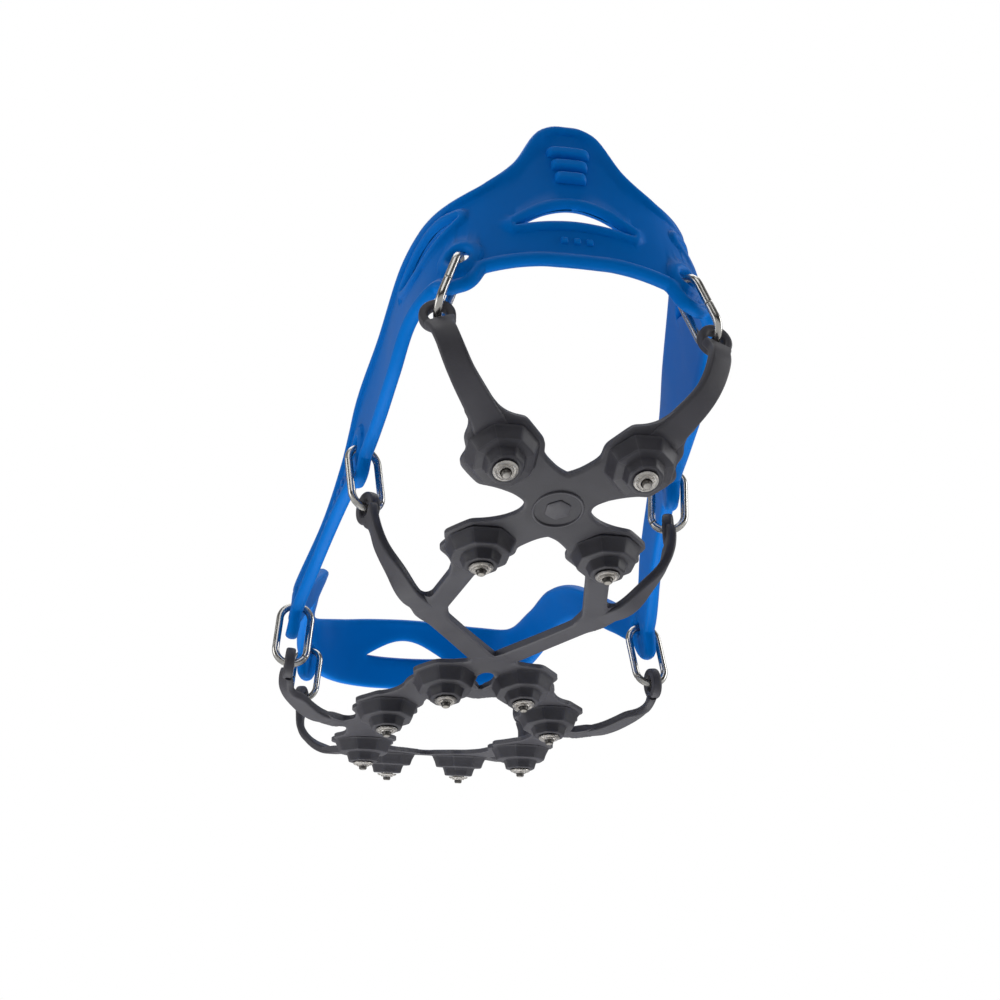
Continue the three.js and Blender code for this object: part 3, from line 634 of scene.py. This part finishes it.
def make_web_sheet(material):
    """The web's flat part: a fine square net in x and station, its vertices pulled onto the outline and onto
    the inner line of the bevel, as an under sheet, an upper sheet and a wall."""
    cell, bevel, depth = 0.55, 0.45, 0.3
    nudge = 0.02  # the step that slopes of the outline's distance are measured over
    across = np.arange(0, round(52 / cell) + 1) * cell
    ahead = np.arange(round(-112 / cell), round(140 / cell) + 1) * cell
    x, y = np.meshgrid(across, ahead, indexing="ij")
    d = sheet_distance(x, y)
    to_bevel = np.where(np.abs(d + bevel) < 0.48 * cell, -bevel, np.nan)
    target = np.where(np.abs(d) <= 0.52 * cell, 0.0, to_bevel)
    for _ in range(3):
        d = sheet_distance(x, y)
        dx = (sheet_distance(x + nudge, y) - sheet_distance(x - nudge, y)) / (2 * nudge)
        dy = (sheet_distance(x, y + nudge) - sheet_distance(x, y - nudge)) / (2 * nudge)
        steep = np.maximum(dx ** 2 + dy ** 2, 0.25)
        pull = np.where(np.isnan(target), 0, (d - target) / steep)
        x, y = np.where(x > 0, x - pull * dx, x), y - pull * dy
    x = np.maximum(x, 0)
    d = sheet_distance(x, y)
    inside = (d < 0.12) & ~np.isnan(np.where(d > -0.3, target, 0))
    quads = grid_faces(*x.shape)
    kept = inside.reshape(-1)[quads]
    whole = quads[kept.all(axis=1)]
    three = kept.sum(axis=1) == 3
    corner = quads[three][kept[three]].reshape(-1, 3)
    edges = np.concatenate([whole[:, [a, b]] for a, b in ((0, 1), (1, 2), (2, 3), (3, 0))]
                           + [corner[:, [a, b]] for a, b in ((0, 1), (1, 2), (2, 0))])
    size = x.size
    forward = edges[:, 0] * size + edges[:, 1]
    rim = edges[~np.isin(forward, edges[:, 1] * size + edges[:, 0])]
    on_axis = (x.reshape(-1)[rim] < 1e-6).all(axis=1)
    rim = rim[~on_axis]

    share = strap_share(x, y)
    gap = np.clip(-d, 0, 2)
    chamfer = depth * (1 - np.clip(gap / bevel, 0, 1)) ** 1.5
    strap_proud = WEB["strap_thickness"] - WEB["strap_top"]
    rim_height, rim_middle = 0.4, 0.2  # a low rim stands round the centre hole
    hole_rim = rim_height * (1 - ease(0.9, 1.7, np.abs(centre_hole(x, y) - rim_middle)))
    under = -strap_proud * share - hole_rim + chamfer
    upper = mix(WEB["thickness"], WEB["strap_top"], share) - chamfer
    buried = np.max([1 - ease(0.35 * width, 0.35 * width + 2.8, np.hypot(x - across_end, y - ahead_end))
                     for across_end, ahead_end, width in TAKEN_OVER], axis=0)
    under, upper = under + 0.9 * buried, upper - 0.5 * buried  # thin enough to lie inside the arm
    points = np.concatenate([rocker(x, y, under).reshape(-1, 3), rocker(x, y, upper).reshape(-1, 3)])
    wall = np.column_stack([rim[:, 1], rim[:, 0], rim[:, 0] + size, rim[:, 1] + size])
    faces = []
    for part in (whole, corner, whole[:, ::-1] + size, corner[:, ::-1] + size, wall):
        faces += part.tolist()
    used = np.unique(np.concatenate([np.ravel(f) for f in faces]))
    renumber = np.zeros(2 * size, int)
    renumber[used] = np.arange(len(used))
    shape = Shape()
    shape.faces = [[int(renumber[v]) for v in f] for f in faces]
    shape.loose(points[used], np.tile(gap.reshape(-1), 2)[used])
    shape.mirror()
    shape.piece("web_sheet", material, "web", "web_rubber", sharp=50, stands_for=["traction_web"])


# ---------------------------------------------------------------- lugs, arms and eyes


def make_lugs(material):
    """Twelve two-step octagons with crowned edges, each open to a round blind bore for the stud's stem."""
    one, two = (t["base"] / 2 for t in (TIER_ONE, TIER_TWO))
    one_end, two_end = TIER_ONE["end"] / 2, TIER_TWO["end"] / 2
    step, tall = -TIER_ONE["height"], -LUG_HEIGHT
    bore = STUD["stem_radius"] + CLEARANCE
    # height, half width, and 0 for an octagon or 1 for a circle
    profile = [
        (1.2, one - 0.6, 0), (0.0, one + 0.45, 0), (-0.25, one + 0.12, 0), (-0.7, one - 0.1, 0),
        (step * 0.55, mix(one, one_end, 0.62), 0), (step + 0.5, one_end + 0.08, 0),
        (step + 0.18, one_end - 0.06, 0), (step, one_end - 0.38, 0), (step, two + 0.55, 0),
        (step - 0.1, two + 0.2, 0), (step - 0.4, two, 0), (step - 1.4, mix(two, two_end, 0.55), 0),
        (tall + 0.4, two_end + 0.05, 0), (tall + 0.14, two_end - 0.08, 0), (tall, two_end - 0.36, 0),
        (tall, 3.5, 0.6), (tall + 0.12, 3.3, 1), (tall + 0.12, bore, 1),
        (STUD["stem_length"] + CLEARANCE - LUG_HEIGHT, bore, 1),
    ]
    eighth = np.radians([-22.5, -21.4, -19.5, -15, -7.5, 0, 7.5, 15, 19.5, 21.4])
    angle = np.concatenate([eighth + k * np.pi / 4 for k in range(8)])
    height, width, circle = (np.array(column)[:, None] for column in zip(*profile))
    radius = width * mix(octagon(angle)[None], 1.0, circle)
    # Finish values: a painted highlight where they are under 0.7, along both crowned edges and down the eight
    # corners.
    plain = 1.5
    crown = np.isin(np.arange(len(profile)), (6, 13))[:, None]
    corner = np.tile([0.2, 0.6] + [plain] * 7 + [0.6], 8)[None]
    finish = np.where(crown, 0.0, np.where(circle > 0, plain, corner))
    shape = Shape()
    for x, station in LUG_STATIONS:
        rings = on_lug(x, station, radius * np.cos(angle), radius * np.sin(angle),
                       np.broadcast_to(height, radius.shape))
        shape.tube(rings, closed=False, value=finish)
    shape.mirror()
    shape.piece("web_lugs", material, "web", "web_rubber", sharp=38)


def sole_stop(x, station, width):
    """A stop of an arm that lies on the sole: its place, the way into the shoe and the arm's width there."""
    lift = WEB["strap_top"] - WEB["strap_thickness"] / 2
    x, station, lift = (np.float64(value) for value in (x, station, lift))
    return rocker(x, station, lift), into_shoe(station), width


def side_stop(x, station, z, into, width):
    """A stop of an arm that climbs the shoe's side."""
    return np.array([x, station - MIDDLE, z], float), np.array(into, float), width


# Stops of the arms, and the stop at which each one leaves the sheet that it starts in.
ARMS = {
    "heel": (1, [sole_stop(19, -95, 12), sole_stop(25, -104, 8),
                 side_stop(31.7, -111.2, 27.4, (-0.3, 0.7, 0.65), 6.8),
                 side_stop(35.4, -112.8, 36.8, (-0.3, 0.93, 0.2), 6.4)]),
    "mid": (1, [sole_stop(22.4, -19.6, 6.4), sole_stop(30.8, -28.6, 6.4),
                side_stop(35.7, -34.5, 13.8, (-0.35, 0, 0.93), 6.4),
                side_stop(40.2, -38.3, 19.1, (-0.8, 0, 0.55), 6.4),
                side_stop(42.4, -39, 26, (-1, 0, 0.12), 6.4)]),
    "ball": (2, [sole_stop(29.5, 63, 8), sole_stop(38, 61, 6.4), sole_stop(46, 55, 6.4),
                 side_stop(52.4, 47, 13, (-0.2, 0, 1), 6.4),
                 side_stop(56.9, 39.5, 14, (-0.85, 0, 0.5), 6.4)]),
    "toe": (2, [sole_stop(13.5, 121, 11), sole_stop(23.5, 128, 7.4), sole_stop(32.5, 134, 6.4),
                side_stop(40.2, 138.4, 46.5, (-0.75, -0.2, 0.6), 6.4)]),
}


def strap_section(corner=0.85, steps=6):
    """Outline of a strap's section for half width and half thickness 1, corners kept round: for each point
    the corner that it belongs to and its place on the corner's quarter circle."""
    sign, turn = [], []
    for k, (u, v) in enumerate(((1, 1), (-1, 1), (-1, -1), (1, -1))):
        angle = np.pi / 2 * (k + np.linspace(0, 1, steps))
        sign.append(np.tile((u, v), (steps, 1)))
        turn.append(np.column_stack([np.cos(angle), np.sin(angle)]) * corner)
    return np.concatenate(sign), np.concatenate(turn), corner


def make_arms(material):
    """Straps that leave the sole and climb its side to the link eyes: a rounded section carried along a
    smooth path, and at the end a ring with a round-edged bore."""
    sign, turn, corner = strap_section()
    last_width, ring_reach = 6.4, 3.5
    shape = Shape()
    for name, (leave, stops) in ARMS.items():
        link = FRAMES[name]
        stops = stops + [(link["eye"], -link["across"], last_width)]
        t = np.linspace(0, 1, 90)
        path, ahead = along_points([s[0] for s in stops], t)
        inward, _ = along_points([s[1] for s in stops], t)
        place = t * (len(stops) - 1)
        width = np.interp(place, np.arange(len(stops)), [s[2] for s in stops])
        short = np.linalg.norm(path - link["eye"], axis=1) > ring_reach
        path, ahead, inward, width, place = (a[short] for a in (path, ahead, inward, width, place))
        across = unit(np.cross(ahead, inward))
        into = unit(np.cross(across, ahead))
        from_end = np.linalg.norm(path - link["eye"], axis=1)
        alone = ease(leave - 0.5, leave - 0.1, place)
        share = np.maximum(strap_share(path[:, 0], path[:, 1] + MIDDLE), alone)
        # Inside the sheet, where there is one, the section shrinks by these widths and heights.
        hidden, sunk = 0.35 * (1 - alone), mix(1.3, 0.35, share) * (1 - alone)
        flare = 1.7 * (1 - ease(3.4, 7.5, from_end))
        half = np.column_stack([(width + flare - hidden) / 2,
                                (WEB["strap_thickness"] - sunk) / 2])[:, None]
        round_off = np.minimum(half[..., 1:], corner) / corner
        flat = sign[None] * (half - corner * round_off) + turn[None] * round_off
        rings = path[:, None] + flat[..., :1] * across[:, None] + flat[..., 1:] * into[:, None]
        # Finish value 0.5 gives the arms part of the painted edge highlight.
        shape.tube(rings, closed=False, value=0.5)
        shape.tube(eye_ring(link), closed=True, value=0.5)
    shape.mirror()
    shape.piece("web_arms", material, "web", "web_rubber", sharp=60)


def eye_ring(link):
    """A ring about the eye's axis: a rounded rectangle from the bore to the rim, turned."""
    half = WEB["eye_thickness"] / 2
    middle = (WEB["eye_radius"] + EYE_HOLE) / 2
    reach = (WEB["eye_radius"] - EYE_HOLE) / 2
    around = np.linspace(0, 2 * np.pi, 28, endpoint=False)
    radius = middle + reach * np.sign(np.cos(around)) * np.abs(np.cos(around)) ** 0.55
    depth = half * np.sign(np.sin(around)) * np.abs(np.sin(around)) ** 0.55
    angle = np.linspace(0, 2 * np.pi, 48, endpoint=False)[:, None]
    side = np.cross(link["along"], link["across"])
    radial = np.cos(angle) * link["along"] + np.sin(angle) * side
    return link["eye"] + radius[None, :, None] * radial[:, None] + depth[None, :, None] * link["across"]


def make_hub_mark(material):
    """A plain ring round a six-sided boss on the underside of the heel hub."""
    shape = Shape()
    angle = np.linspace(0, 2 * np.pi, 72, endpoint=False)[None]
    profile = np.array([(6.2, 0.4), (6.3, -0.16), (6.45, -0.26), (6.75, -0.26), (6.9, -0.16), (7.0, 0.4)])
    radius, height = profile[:, :1], profile[:, 1:]
    rings = on_lug(*HUB, radius * np.cos(angle), radius * np.sin(angle), height + 0 * angle)
    # Finish values stay 0, so the whole mark gets the full painted edge highlight.
    shape.tube(rings.transpose(1, 0, 2), closed=True)
    six = np.sum([np.abs(np.cos(angle - k * np.pi / 3)) ** 24 for k in range(3)], axis=0) ** (-1 / 24)
    boss = np.array([(3.3, 0.4), (3.2, -0.18), (3.0, -0.28), (0.6, -0.28)])
    radius, height = boss[:, :1] * six, boss[:, 1:] + 0 * angle
    shape.tube(on_lug(*HUB, radius * np.cos(angle), radius * np.sin(angle), height), closed=False)
    shape.piece("hub_mark", material, "web", "web_rubber", sharp=50)


# ---------------------------------------------------------------- studs


def turned(profile, x, station, segments, hand):
    """A turned solid from (radius, height) pairs about a stud's axis."""
    radius, height = (np.array(column)[:, None] for column in zip(*profile))
    angle = np.linspace(0, 2 * np.pi, segments, endpoint=False)[None]
    rings = on_lug(x, station, radius * np.cos(angle), radius * np.sin(angle), height + 0 * angle)
    shape = Shape().tube(rings, closed=False, value=np.broadcast_to(radius, rings.shape[:2]))
    if hand == "left":
        shape.points = [p * (-1, 1, 1) for p in shape.points]
    return shape


def make_studs(aluminium, carbide):
    """Twelve flanged bases with a raised collar round the socket, and a chamfered pin in each."""
    face = -LUG_HEIGHT - CLEARANCE
    end = -LUG_HEIGHT - STUD["flange_height"]
    socket = STUD["tip_radius"] + 0.22
    floor = end + STUD["tip_buried"] + CLEARANCE
    rim, stem = STUD["flange_radius"], STUD["stem_radius"]
    collar = socket + 0.5
    top = STUD["stem_length"] - LUG_HEIGHT
    # Radius and height: socket, collar, dish, rolled ring, flange and stem.
    base = [
        (0.01, floor), (socket, floor), (socket, end - 0.32), (socket + 0.08, end - 0.42),
        (collar - 0.1, end - 0.42), (collar, end - 0.34), (collar + 0.04, end - 0.02),
        (collar + 0.14, end + 0.06), (2.5, end + 0.02), (2.62, end - 0.04), (2.78, end),
        (rim - 0.12, face - 0.34), (rim, face - 0.22), (rim, face - 0.06), (rim - 0.08, face),
        (stem + 0.1, face), (stem, face + 0.1), (stem, top - 0.2), (stem - 0.2, top), (0.01, top),
    ]
    radius = STUD["tip_radius"]
    buried = end + STUD["tip_buried"]
    tip = [
        (0.01, -STACK), (radius - 0.42, -STACK), (radius - 0.3, -STACK + 0.04),
        (radius - 0.06, -STACK + 0.28), (radius, -STACK + 0.42), (radius, buried - 0.1),
        (radius - 0.1, buried), (0.01, buried),
    ]
    for row, (x, station) in enumerate(LUG_STATIONS, 1):
        for hand in ("right", "left"):
            turned(base, x, station, 48, hand).piece(
                f"flange_{row}_{hand}", aluminium, "web", "stud_aluminium", sharp=30,
                stands_for=[f"stud_base_{row}_{hand}"])
            turned(tip, x, station, 40, hand).piece(
                f"pin_{row}_{hand}", carbide, "web", "stud_carbide", sharp=30,
                stands_for=[f"stud_tip_{row}_{hand}"])


# ---------------------------------------------------------------- materials


def linear(colour):
    """sRGB hex to linear red, green and blue with alpha 1."""
    parts = [int(colour[i:i + 2], 16) / 255 for i in (0, 2, 4)]
    return (*[p / 12.92 if p <= 0.04045 else ((p + 0.055) / 1.055) ** 2.4 for p in parts], 1.0)


def add(tree, kind, inputs=None, **settings):
    """Adds a node: settings are its properties, inputs its sockets' values or the outputs that feed them."""
    node = tree.nodes.new(kind)
    for key, value in settings.items():
        setattr(node, key, value)
    for key, value in (inputs or {}).items():
        if isinstance(value, bpy.types.NodeSocket):
            tree.links.new(value, node.inputs[key])
        else:
            node.inputs[key].default_value = value
    return node


def new_material(name, **shader):
    """A material with one principled shader on its output; shader holds that shader's plain values."""
    material = bpy.data.materials.new(name)
    material.use_nodes = True
    tree = material.node_tree
    tree.nodes.clear()
    surface = add(tree, "ShaderNodeBsdfPrincipled", {k.replace("_", " "): v for k, v in shader.items()})
    add(tree, "ShaderNodeOutputMaterial", {"Surface": surface.outputs["BSDF"]})
    return material, tree, surface


def elastomer():
    """Blue thermoplastic elastomer, injection moulded in a fine-blasted tool: an even satin skin with a very
    small grain, slow clouds of flow, and a painted highlight that makes the rims and beads a little lighter."""
    material, tree, surface = new_material("moulded_blue_elastomer", IOR=1.5, Specular_IOR_Level=0.12,
                                           Specular_Tint=linear("2E86D8"))
    place = add(tree, "ShaderNodeTexCoord").outputs["Object"]
    flow = add(tree, "ShaderNodeTexNoise", {"Vector": place, "Scale": 45.0, "Detail": 3.0, "Roughness": 0.55})
    grain = add(tree, "ShaderNodeTexNoise", {"Vector": place, "Scale": 2600.0, "Detail": 2.0,
                                             "Roughness": 0.6})
    gap = add(tree, "ShaderNodeAttribute", attribute_name="finish").outputs["Fac"]
    # Painted highlight: surface near an edge of the band is mixed towards a lighter blue.
    rim = add(tree, "ShaderNodeMapRange", {"Value": gap, "From Min": 0.3, "From Max": 3.8, "To Min": 1.0,
                                           "To Max": 0.0}, interpolation_type="SMOOTHSTEP")
    skin = add(tree, "ShaderNodeMix", {"Factor": flow.outputs["Fac"], "A": linear("0060B4"),
                                       "B": linear("006CC8")}, data_type="RGBA")
    # Painted highlight: how much of the lighter rim blue is mixed in.
    rim_highlight_share = add(tree, "ShaderNodeMath", {0: rim.outputs["Result"], 1: 0.38}, operation="MULTIPLY")
    edge_highlight_mix = add(tree, "ShaderNodeMix", {"Factor": rim_highlight_share.outputs[0], "A": skin.outputs["Result"],
                                       "B": linear("0A7CDA")}, data_type="RGBA")
    tree.links.new(edge_highlight_mix.outputs["Result"], surface.inputs["Base Color"])
    rough = add(tree, "ShaderNodeMapRange", {"Value": flow.outputs["Fac"], "From Min": 0.3, "From Max": 0.7,
                                             "To Min": 0.36, "To Max": 0.47})
    tree.links.new(rough.outputs["Result"], surface.inputs["Roughness"])
    bump = add(tree, "ShaderNodeBump", {"Height": grain.outputs["Fac"], "Strength": 0.16, "Distance": 0.0001})
    tree.links.new(bump.outputs["Normal"], surface.inputs["Normal"])
    return material


def web_rubber():
    """Dark grey thermoplastic rubber, moulded: a satin skin with a spark-eroded grain of 0.3 mm, a faint
    violet cast, greyer bloom in slow patches, and a painted highlight that lightens the edges."""
    material, tree, surface = new_material("moulded_grey_rubber", IOR=1.5, Specular_IOR_Level=0.45)
    place = add(tree, "ShaderNodeTexCoord").outputs["Object"]
    bloom = add(tree, "ShaderNodeTexNoise", {"Vector": place, "Scale": 90.0, "Detail": 5.0, "Roughness": 0.6})
    grain = add(tree, "ShaderNodeTexNoise", {"Vector": place, "Scale": 2400.0, "Detail": 2.0,
                                             "Roughness": 0.55})
    gap = add(tree, "ShaderNodeAttribute", attribute_name="finish").outputs["Fac"]
    # Painted highlight: surface close to an edge is mixed towards a lighter grey.
    edge = add(tree, "ShaderNodeMapRange", {"Value": gap, "From Min": 0.0, "From Max": 0.7, "To Min": 0.5,
                                            "To Max": 0.0}, interpolation_type="SMOOTHSTEP")
    skin = add(tree, "ShaderNodeMix", {"Factor": bloom.outputs["Fac"], "A": linear("2B2A30"),
                                       "B": linear("403F46")}, data_type="RGBA")
    edge_highlight_mix = add(tree, "ShaderNodeMix", {"Factor": edge.outputs["Result"], "A": skin.outputs["Result"],
                                       "B": linear("525157")}, data_type="RGBA")
    tree.links.new(edge_highlight_mix.outputs["Result"], surface.inputs["Base Color"])
    rough = add(tree, "ShaderNodeMapRange", {"Value": bloom.outputs["Fac"], "From Min": 0.3, "From Max": 0.7,
                                             "To Min": 0.42, "To Max": 0.56})
    tree.links.new(rough.outputs["Result"], surface.inputs["Roughness"])
    bump = add(tree, "ShaderNodeBump", {"Height": grain.outputs["Fac"], "Strength": 0.22, "Distance": 0.0001})
    tree.links.new(bump.outputs["Normal"], surface.inputs["Normal"])
    return material


def stainless_wire():
    """Drawn stainless steel wire, bright: fine die lines, small dull handling marks and a dark butt seam."""
    material, tree, surface = new_material("drawn_stainless_wire", Metallic=1.0)
    place = add(tree, "ShaderNodeTexCoord").outputs["Object"]
    marks = add(tree, "ShaderNodeTexNoise", {"Vector": place, "Scale": 420.0, "Detail": 3.0,
                                             "Roughness": 0.5})
    gap = add(tree, "ShaderNodeAttribute", attribute_name="finish").outputs["Fac"]
    seam = add(tree, "ShaderNodeMapRange", {"Value": gap, "From Min": 0.05, "From Max": 0.22, "To Min": 0.85,
                                            "To Max": 0.0})
    steel = add(tree, "ShaderNodeMix", {"Factor": marks.outputs["Fac"], "A": linear("A9A7A3"),
                                        "B": linear("D6D4CF")}, data_type="RGBA")
    colour = add(tree, "ShaderNodeMix", {"Factor": seam.outputs["Result"], "A": steel.outputs["Result"],
                                         "B": linear("35322F")}, data_type="RGBA")
    tree.links.new(colour.outputs["Result"], surface.inputs["Base Color"])
    rough = add(tree, "ShaderNodeMapRange", {"Value": marks.outputs["Fac"], "From Min": 0.3, "From Max": 0.7,
                                             "To Min": 0.16, "To Max": 0.32})
    tree.links.new(rough.outputs["Result"], surface.inputs["Roughness"])
    bump = add(tree, "ShaderNodeBump", {"Height": marks.outputs["Fac"], "Strength": 0.04, "Distance": 0.0001})
    tree.links.new(bump.outputs["Normal"], surface.inputs["Normal"])
    return material


def turned_aluminium():
    """Aluminium bar, turned and tumbled: rings of tool marks 0.25 mm apart, drawn coarse enough to show,
    and scuffs that dull it in patches."""
    material, tree, surface = new_material("turned_aluminium", Metallic=1.0)
    place = add(tree, "ShaderNodeTexCoord").outputs["Object"]
    scuffs = add(tree, "ShaderNodeTexNoise", {"Vector": place, "Scale": 900.0, "Detail": 6.0,
                                              "Roughness": 0.65})
    radius = add(tree, "ShaderNodeAttribute", attribute_name="finish").outputs["Fac"]
    phase = add(tree, "ShaderNodeMath", {0: radius, 1: 2 * math.pi / 0.25}, operation="MULTIPLY")
    rings = add(tree, "ShaderNodeMath", {0: phase.outputs[0]}, operation="SINE")
    metal = add(tree, "ShaderNodeMix", {"Factor": scuffs.outputs["Fac"], "A": linear("B9B5B0"),
                                        "B": linear("E6E2DC")}, data_type="RGBA")
    tree.links.new(metal.outputs["Result"], surface.inputs["Base Color"])
    rough = add(tree, "ShaderNodeMapRange", {"Value": scuffs.outputs["Fac"], "From Min": 0.3, "From Max": 0.7,
                                             "To Min": 0.22, "To Max": 0.4})
    tree.links.new(rough.outputs["Result"], surface.inputs["Roughness"])
    bump = add(tree, "ShaderNodeBump", {"Height": rings.outputs[0], "Strength": 0.12, "Distance": 0.00005})
    tree.links.new(bump.outputs["Normal"], surface.inputs["Normal"])
    return material


def ground_carbide():
    """Sintered tungsten carbide: dark grey, grainy sides and a flat end ground brighter."""
    material, tree, surface = new_material("ground_carbide", Metallic=1.0)
    place = add(tree, "ShaderNodeTexCoord").outputs["Object"]
    grain = add(tree, "ShaderNodeTexNoise", {"Vector": place, "Scale": 3200.0, "Detail": 4.0,
                                             "Roughness": 0.7})
    radius = add(tree, "ShaderNodeAttribute", attribute_name="finish").outputs["Fac"]
    flat_end = add(tree, "ShaderNodeMapRange", {"Value": radius, "From Min": 0.86, "From Max": 1.1,
                                                "To Min": 1.0, "To Max": 0.0})
    dark = add(tree, "ShaderNodeMix", {"Factor": grain.outputs["Fac"], "A": linear("4A4846"),
                                       "B": linear("7C7975")}, data_type="RGBA")
    colour = add(tree, "ShaderNodeMix", {"Factor": flat_end.outputs["Result"], "A": dark.outputs["Result"],
                                         "B": linear("B4B1AC")}, data_type="RGBA")
    tree.links.new(colour.outputs["Result"], surface.inputs["Base Color"])
    rough = add(tree, "ShaderNodeMapRange", {"Value": grain.outputs["Fac"], "From Min": 0.3, "From Max": 0.7,
                                             "To Min": 0.3, "To Max": 0.5})
    tree.links.new(rough.outputs["Result"], surface.inputs["Roughness"])
    bump = add(tree, "ShaderNodeBump", {"Height": grain.outputs["Fac"], "Strength": 0.2, "Distance": 0.00005})
    tree.links.new(bump.outputs["Normal"], surface.inputs["Normal"])
    return material


def one_way_floor():
    """Pale painted board that shows from above and lets light and sight through from below."""
    material, tree, surface = new_material("pale_painted_board", Roughness=0.75)
    place = add(tree, "ShaderNodeTexCoord").outputs["Object"]
    mottle = add(tree, "ShaderNodeTexNoise", {"Vector": place, "Scale": 6.0, "Detail": 3.0})
    colour = add(tree, "ShaderNodeMix", {"Factor": mottle.outputs["Fac"], "A": linear("E2E2E0"),
                                         "B": linear("EBEBE9")}, data_type="RGBA")
    tree.links.new(colour.outputs["Result"], surface.inputs["Base Color"])
    behind = add(tree, "ShaderNodeNewGeometry").outputs["Backfacing"]
    shadow = add(tree, "ShaderNodeLightPath").outputs["Is Shadow Ray"]
    through = add(tree, "ShaderNodeMath", {0: behind, 1: shadow}, operation="MAXIMUM")
    clear = add(tree, "ShaderNodeBsdfTransparent")
    both = add(tree, "ShaderNodeMixShader", {"Fac": through.outputs[0]})
    tree.links.new(surface.outputs["BSDF"], both.inputs[1])
    tree.links.new(clear.outputs["BSDF"], both.inputs[2])
    output = next(n for n in tree.nodes if n.type == "OUTPUT_MATERIAL")
    tree.links.new(both.outputs["Shader"], output.inputs["Surface"])
    return material


# ---------------------------------------------------------------- studio


def make_studio():
    """A floor just below the pins, a white surround that fills from the toe end, and five soft lights."""
    half, level = 1.4, -0.0002
    floor_mesh = bpy.data.meshes.new("floor")
    corners = [(x * half, y * half, level) for x, y in ((-1, -1), (1, -1), (1, 1), (-1, 1))]
    floor_mesh.from_pydata(corners, [], [(0, 1, 2, 3)])
    floor = bpy.data.objects.new("floor", floor_mesh)
    floor_mesh.materials.append(one_way_floor())
    bpy.context.scene.collection.objects.link(floor)

    world = bpy.data.worlds.new("studio")
    world.use_nodes = True
    tree = world.node_tree
    tree.nodes.clear()
    seen = add(tree, "ShaderNodeLightPath").outputs["Is Camera Ray"]
    direction = add(tree, "ShaderNodeSeparateXYZ", {0: add(tree, "ShaderNodeTexCoord").outputs["Generated"]})
    fill = add(tree, "ShaderNodeMapRange", {"Value": direction.outputs["Y"], "From Min": -0.9,
                                            "From Max": 0.5, "To Min": 0.03, "To Max": 0.3})
    strength = add(tree, "ShaderNodeMix", {"Factor": seen, "A": fill.outputs["Result"], "B": 1.0})
    white = add(tree, "ShaderNodeBackground", {"Color": (1, 1, 1, 1), "Strength": strength.outputs["Result"]})
    add(tree, "ShaderNodeOutputWorld", {"Surface": white.outputs["Background"]})
    bpy.context.scene.world = world
    # White stays white, and the blue keeps its strength.
    bpy.context.scene.view_settings.view_transform = "Standard"

    # name, place, what it faces, width, height, watts: all in metres
    lights = [
        ("left", (-1.1, -0.1, 0.15), (0, 0, 0.05), 0.7, 0.9, 4.2),
        ("under", (-0.1, 0.55, -0.85), (0, 0, 0.02), 1.0, 0.8, 14),
        ("right", (1.0, -0.2, 0.3), (0, 0, 0.05), 0.5, 0.9, 5),
        ("behind", (-0.2, -0.8, 0.7), (0, 0, 0.09), 0.6, 0.6, 1.6),
        ("top", (0.05, 0.1, 1.2), (0, 0, 0.05), 1.0, 1.0, 5.5),
    ]
    for name, place, target, width, height, watts in lights:
        data = bpy.data.lights.new(name, "AREA")
        data.shape, data.size, data.size_y, data.energy = "RECTANGLE", width, height, watts
        light = bpy.data.objects.new(name, data)
        light.location = place
        light.rotation_euler = (Vector(target) - Vector(place)).to_track_quat("-Z", "Y").to_euler()
        bpy.context.scene.collection.objects.link(light)


def make_camera():
    """A long lens below the heel, looking up along the sole."""
    azimuth, elevation, roll = (math.radians(a) for a in (-13.483, -31.552, -2.941))
    target, distance = Vector((-0.01525, -0.10018, 0.0128)), 0.52007
    back = Vector((math.sin(azimuth) * math.cos(elevation), -math.cos(azimuth) * math.cos(elevation),
                   math.sin(elevation)))
    level = (-back).cross(Vector((0, 0, 1))).normalized()
    upright = level.cross(-back)
    right = level * math.cos(roll) + upright * math.sin(roll)
    up = upright * math.cos(roll) - level * math.sin(roll)
    data = bpy.data.cameras.new("camera")
    data.lens, data.sensor_width = 72.29, 36
    data.clip_start, data.clip_end = 0.01, 20
    camera = bpy.data.objects.new("camera", data)
    turn = Matrix((right, up, back)).transposed()
    camera.matrix_world = Matrix.Translation(target + back * distance) @ turn.to_4x4()
    bpy.context.scene.collection.objects.link(camera)
    bpy.context.scene.camera = camera


make_camera()
make_studio()

blue = elastomer()
grey = web_rubber()
steel = stainless_wire()
make_harness(blue)
make_harness_relief(blue)
for link_name in FRAMES:
    for hand_name in ("right", "left"):
        make_link(link_name, hand_name, steel)
make_web_sheet(grey)
make_lugs(grey)
make_arms(grey)
make_hub_mark(grey)
make_studs(turned_aluminium(), ground_carbide())
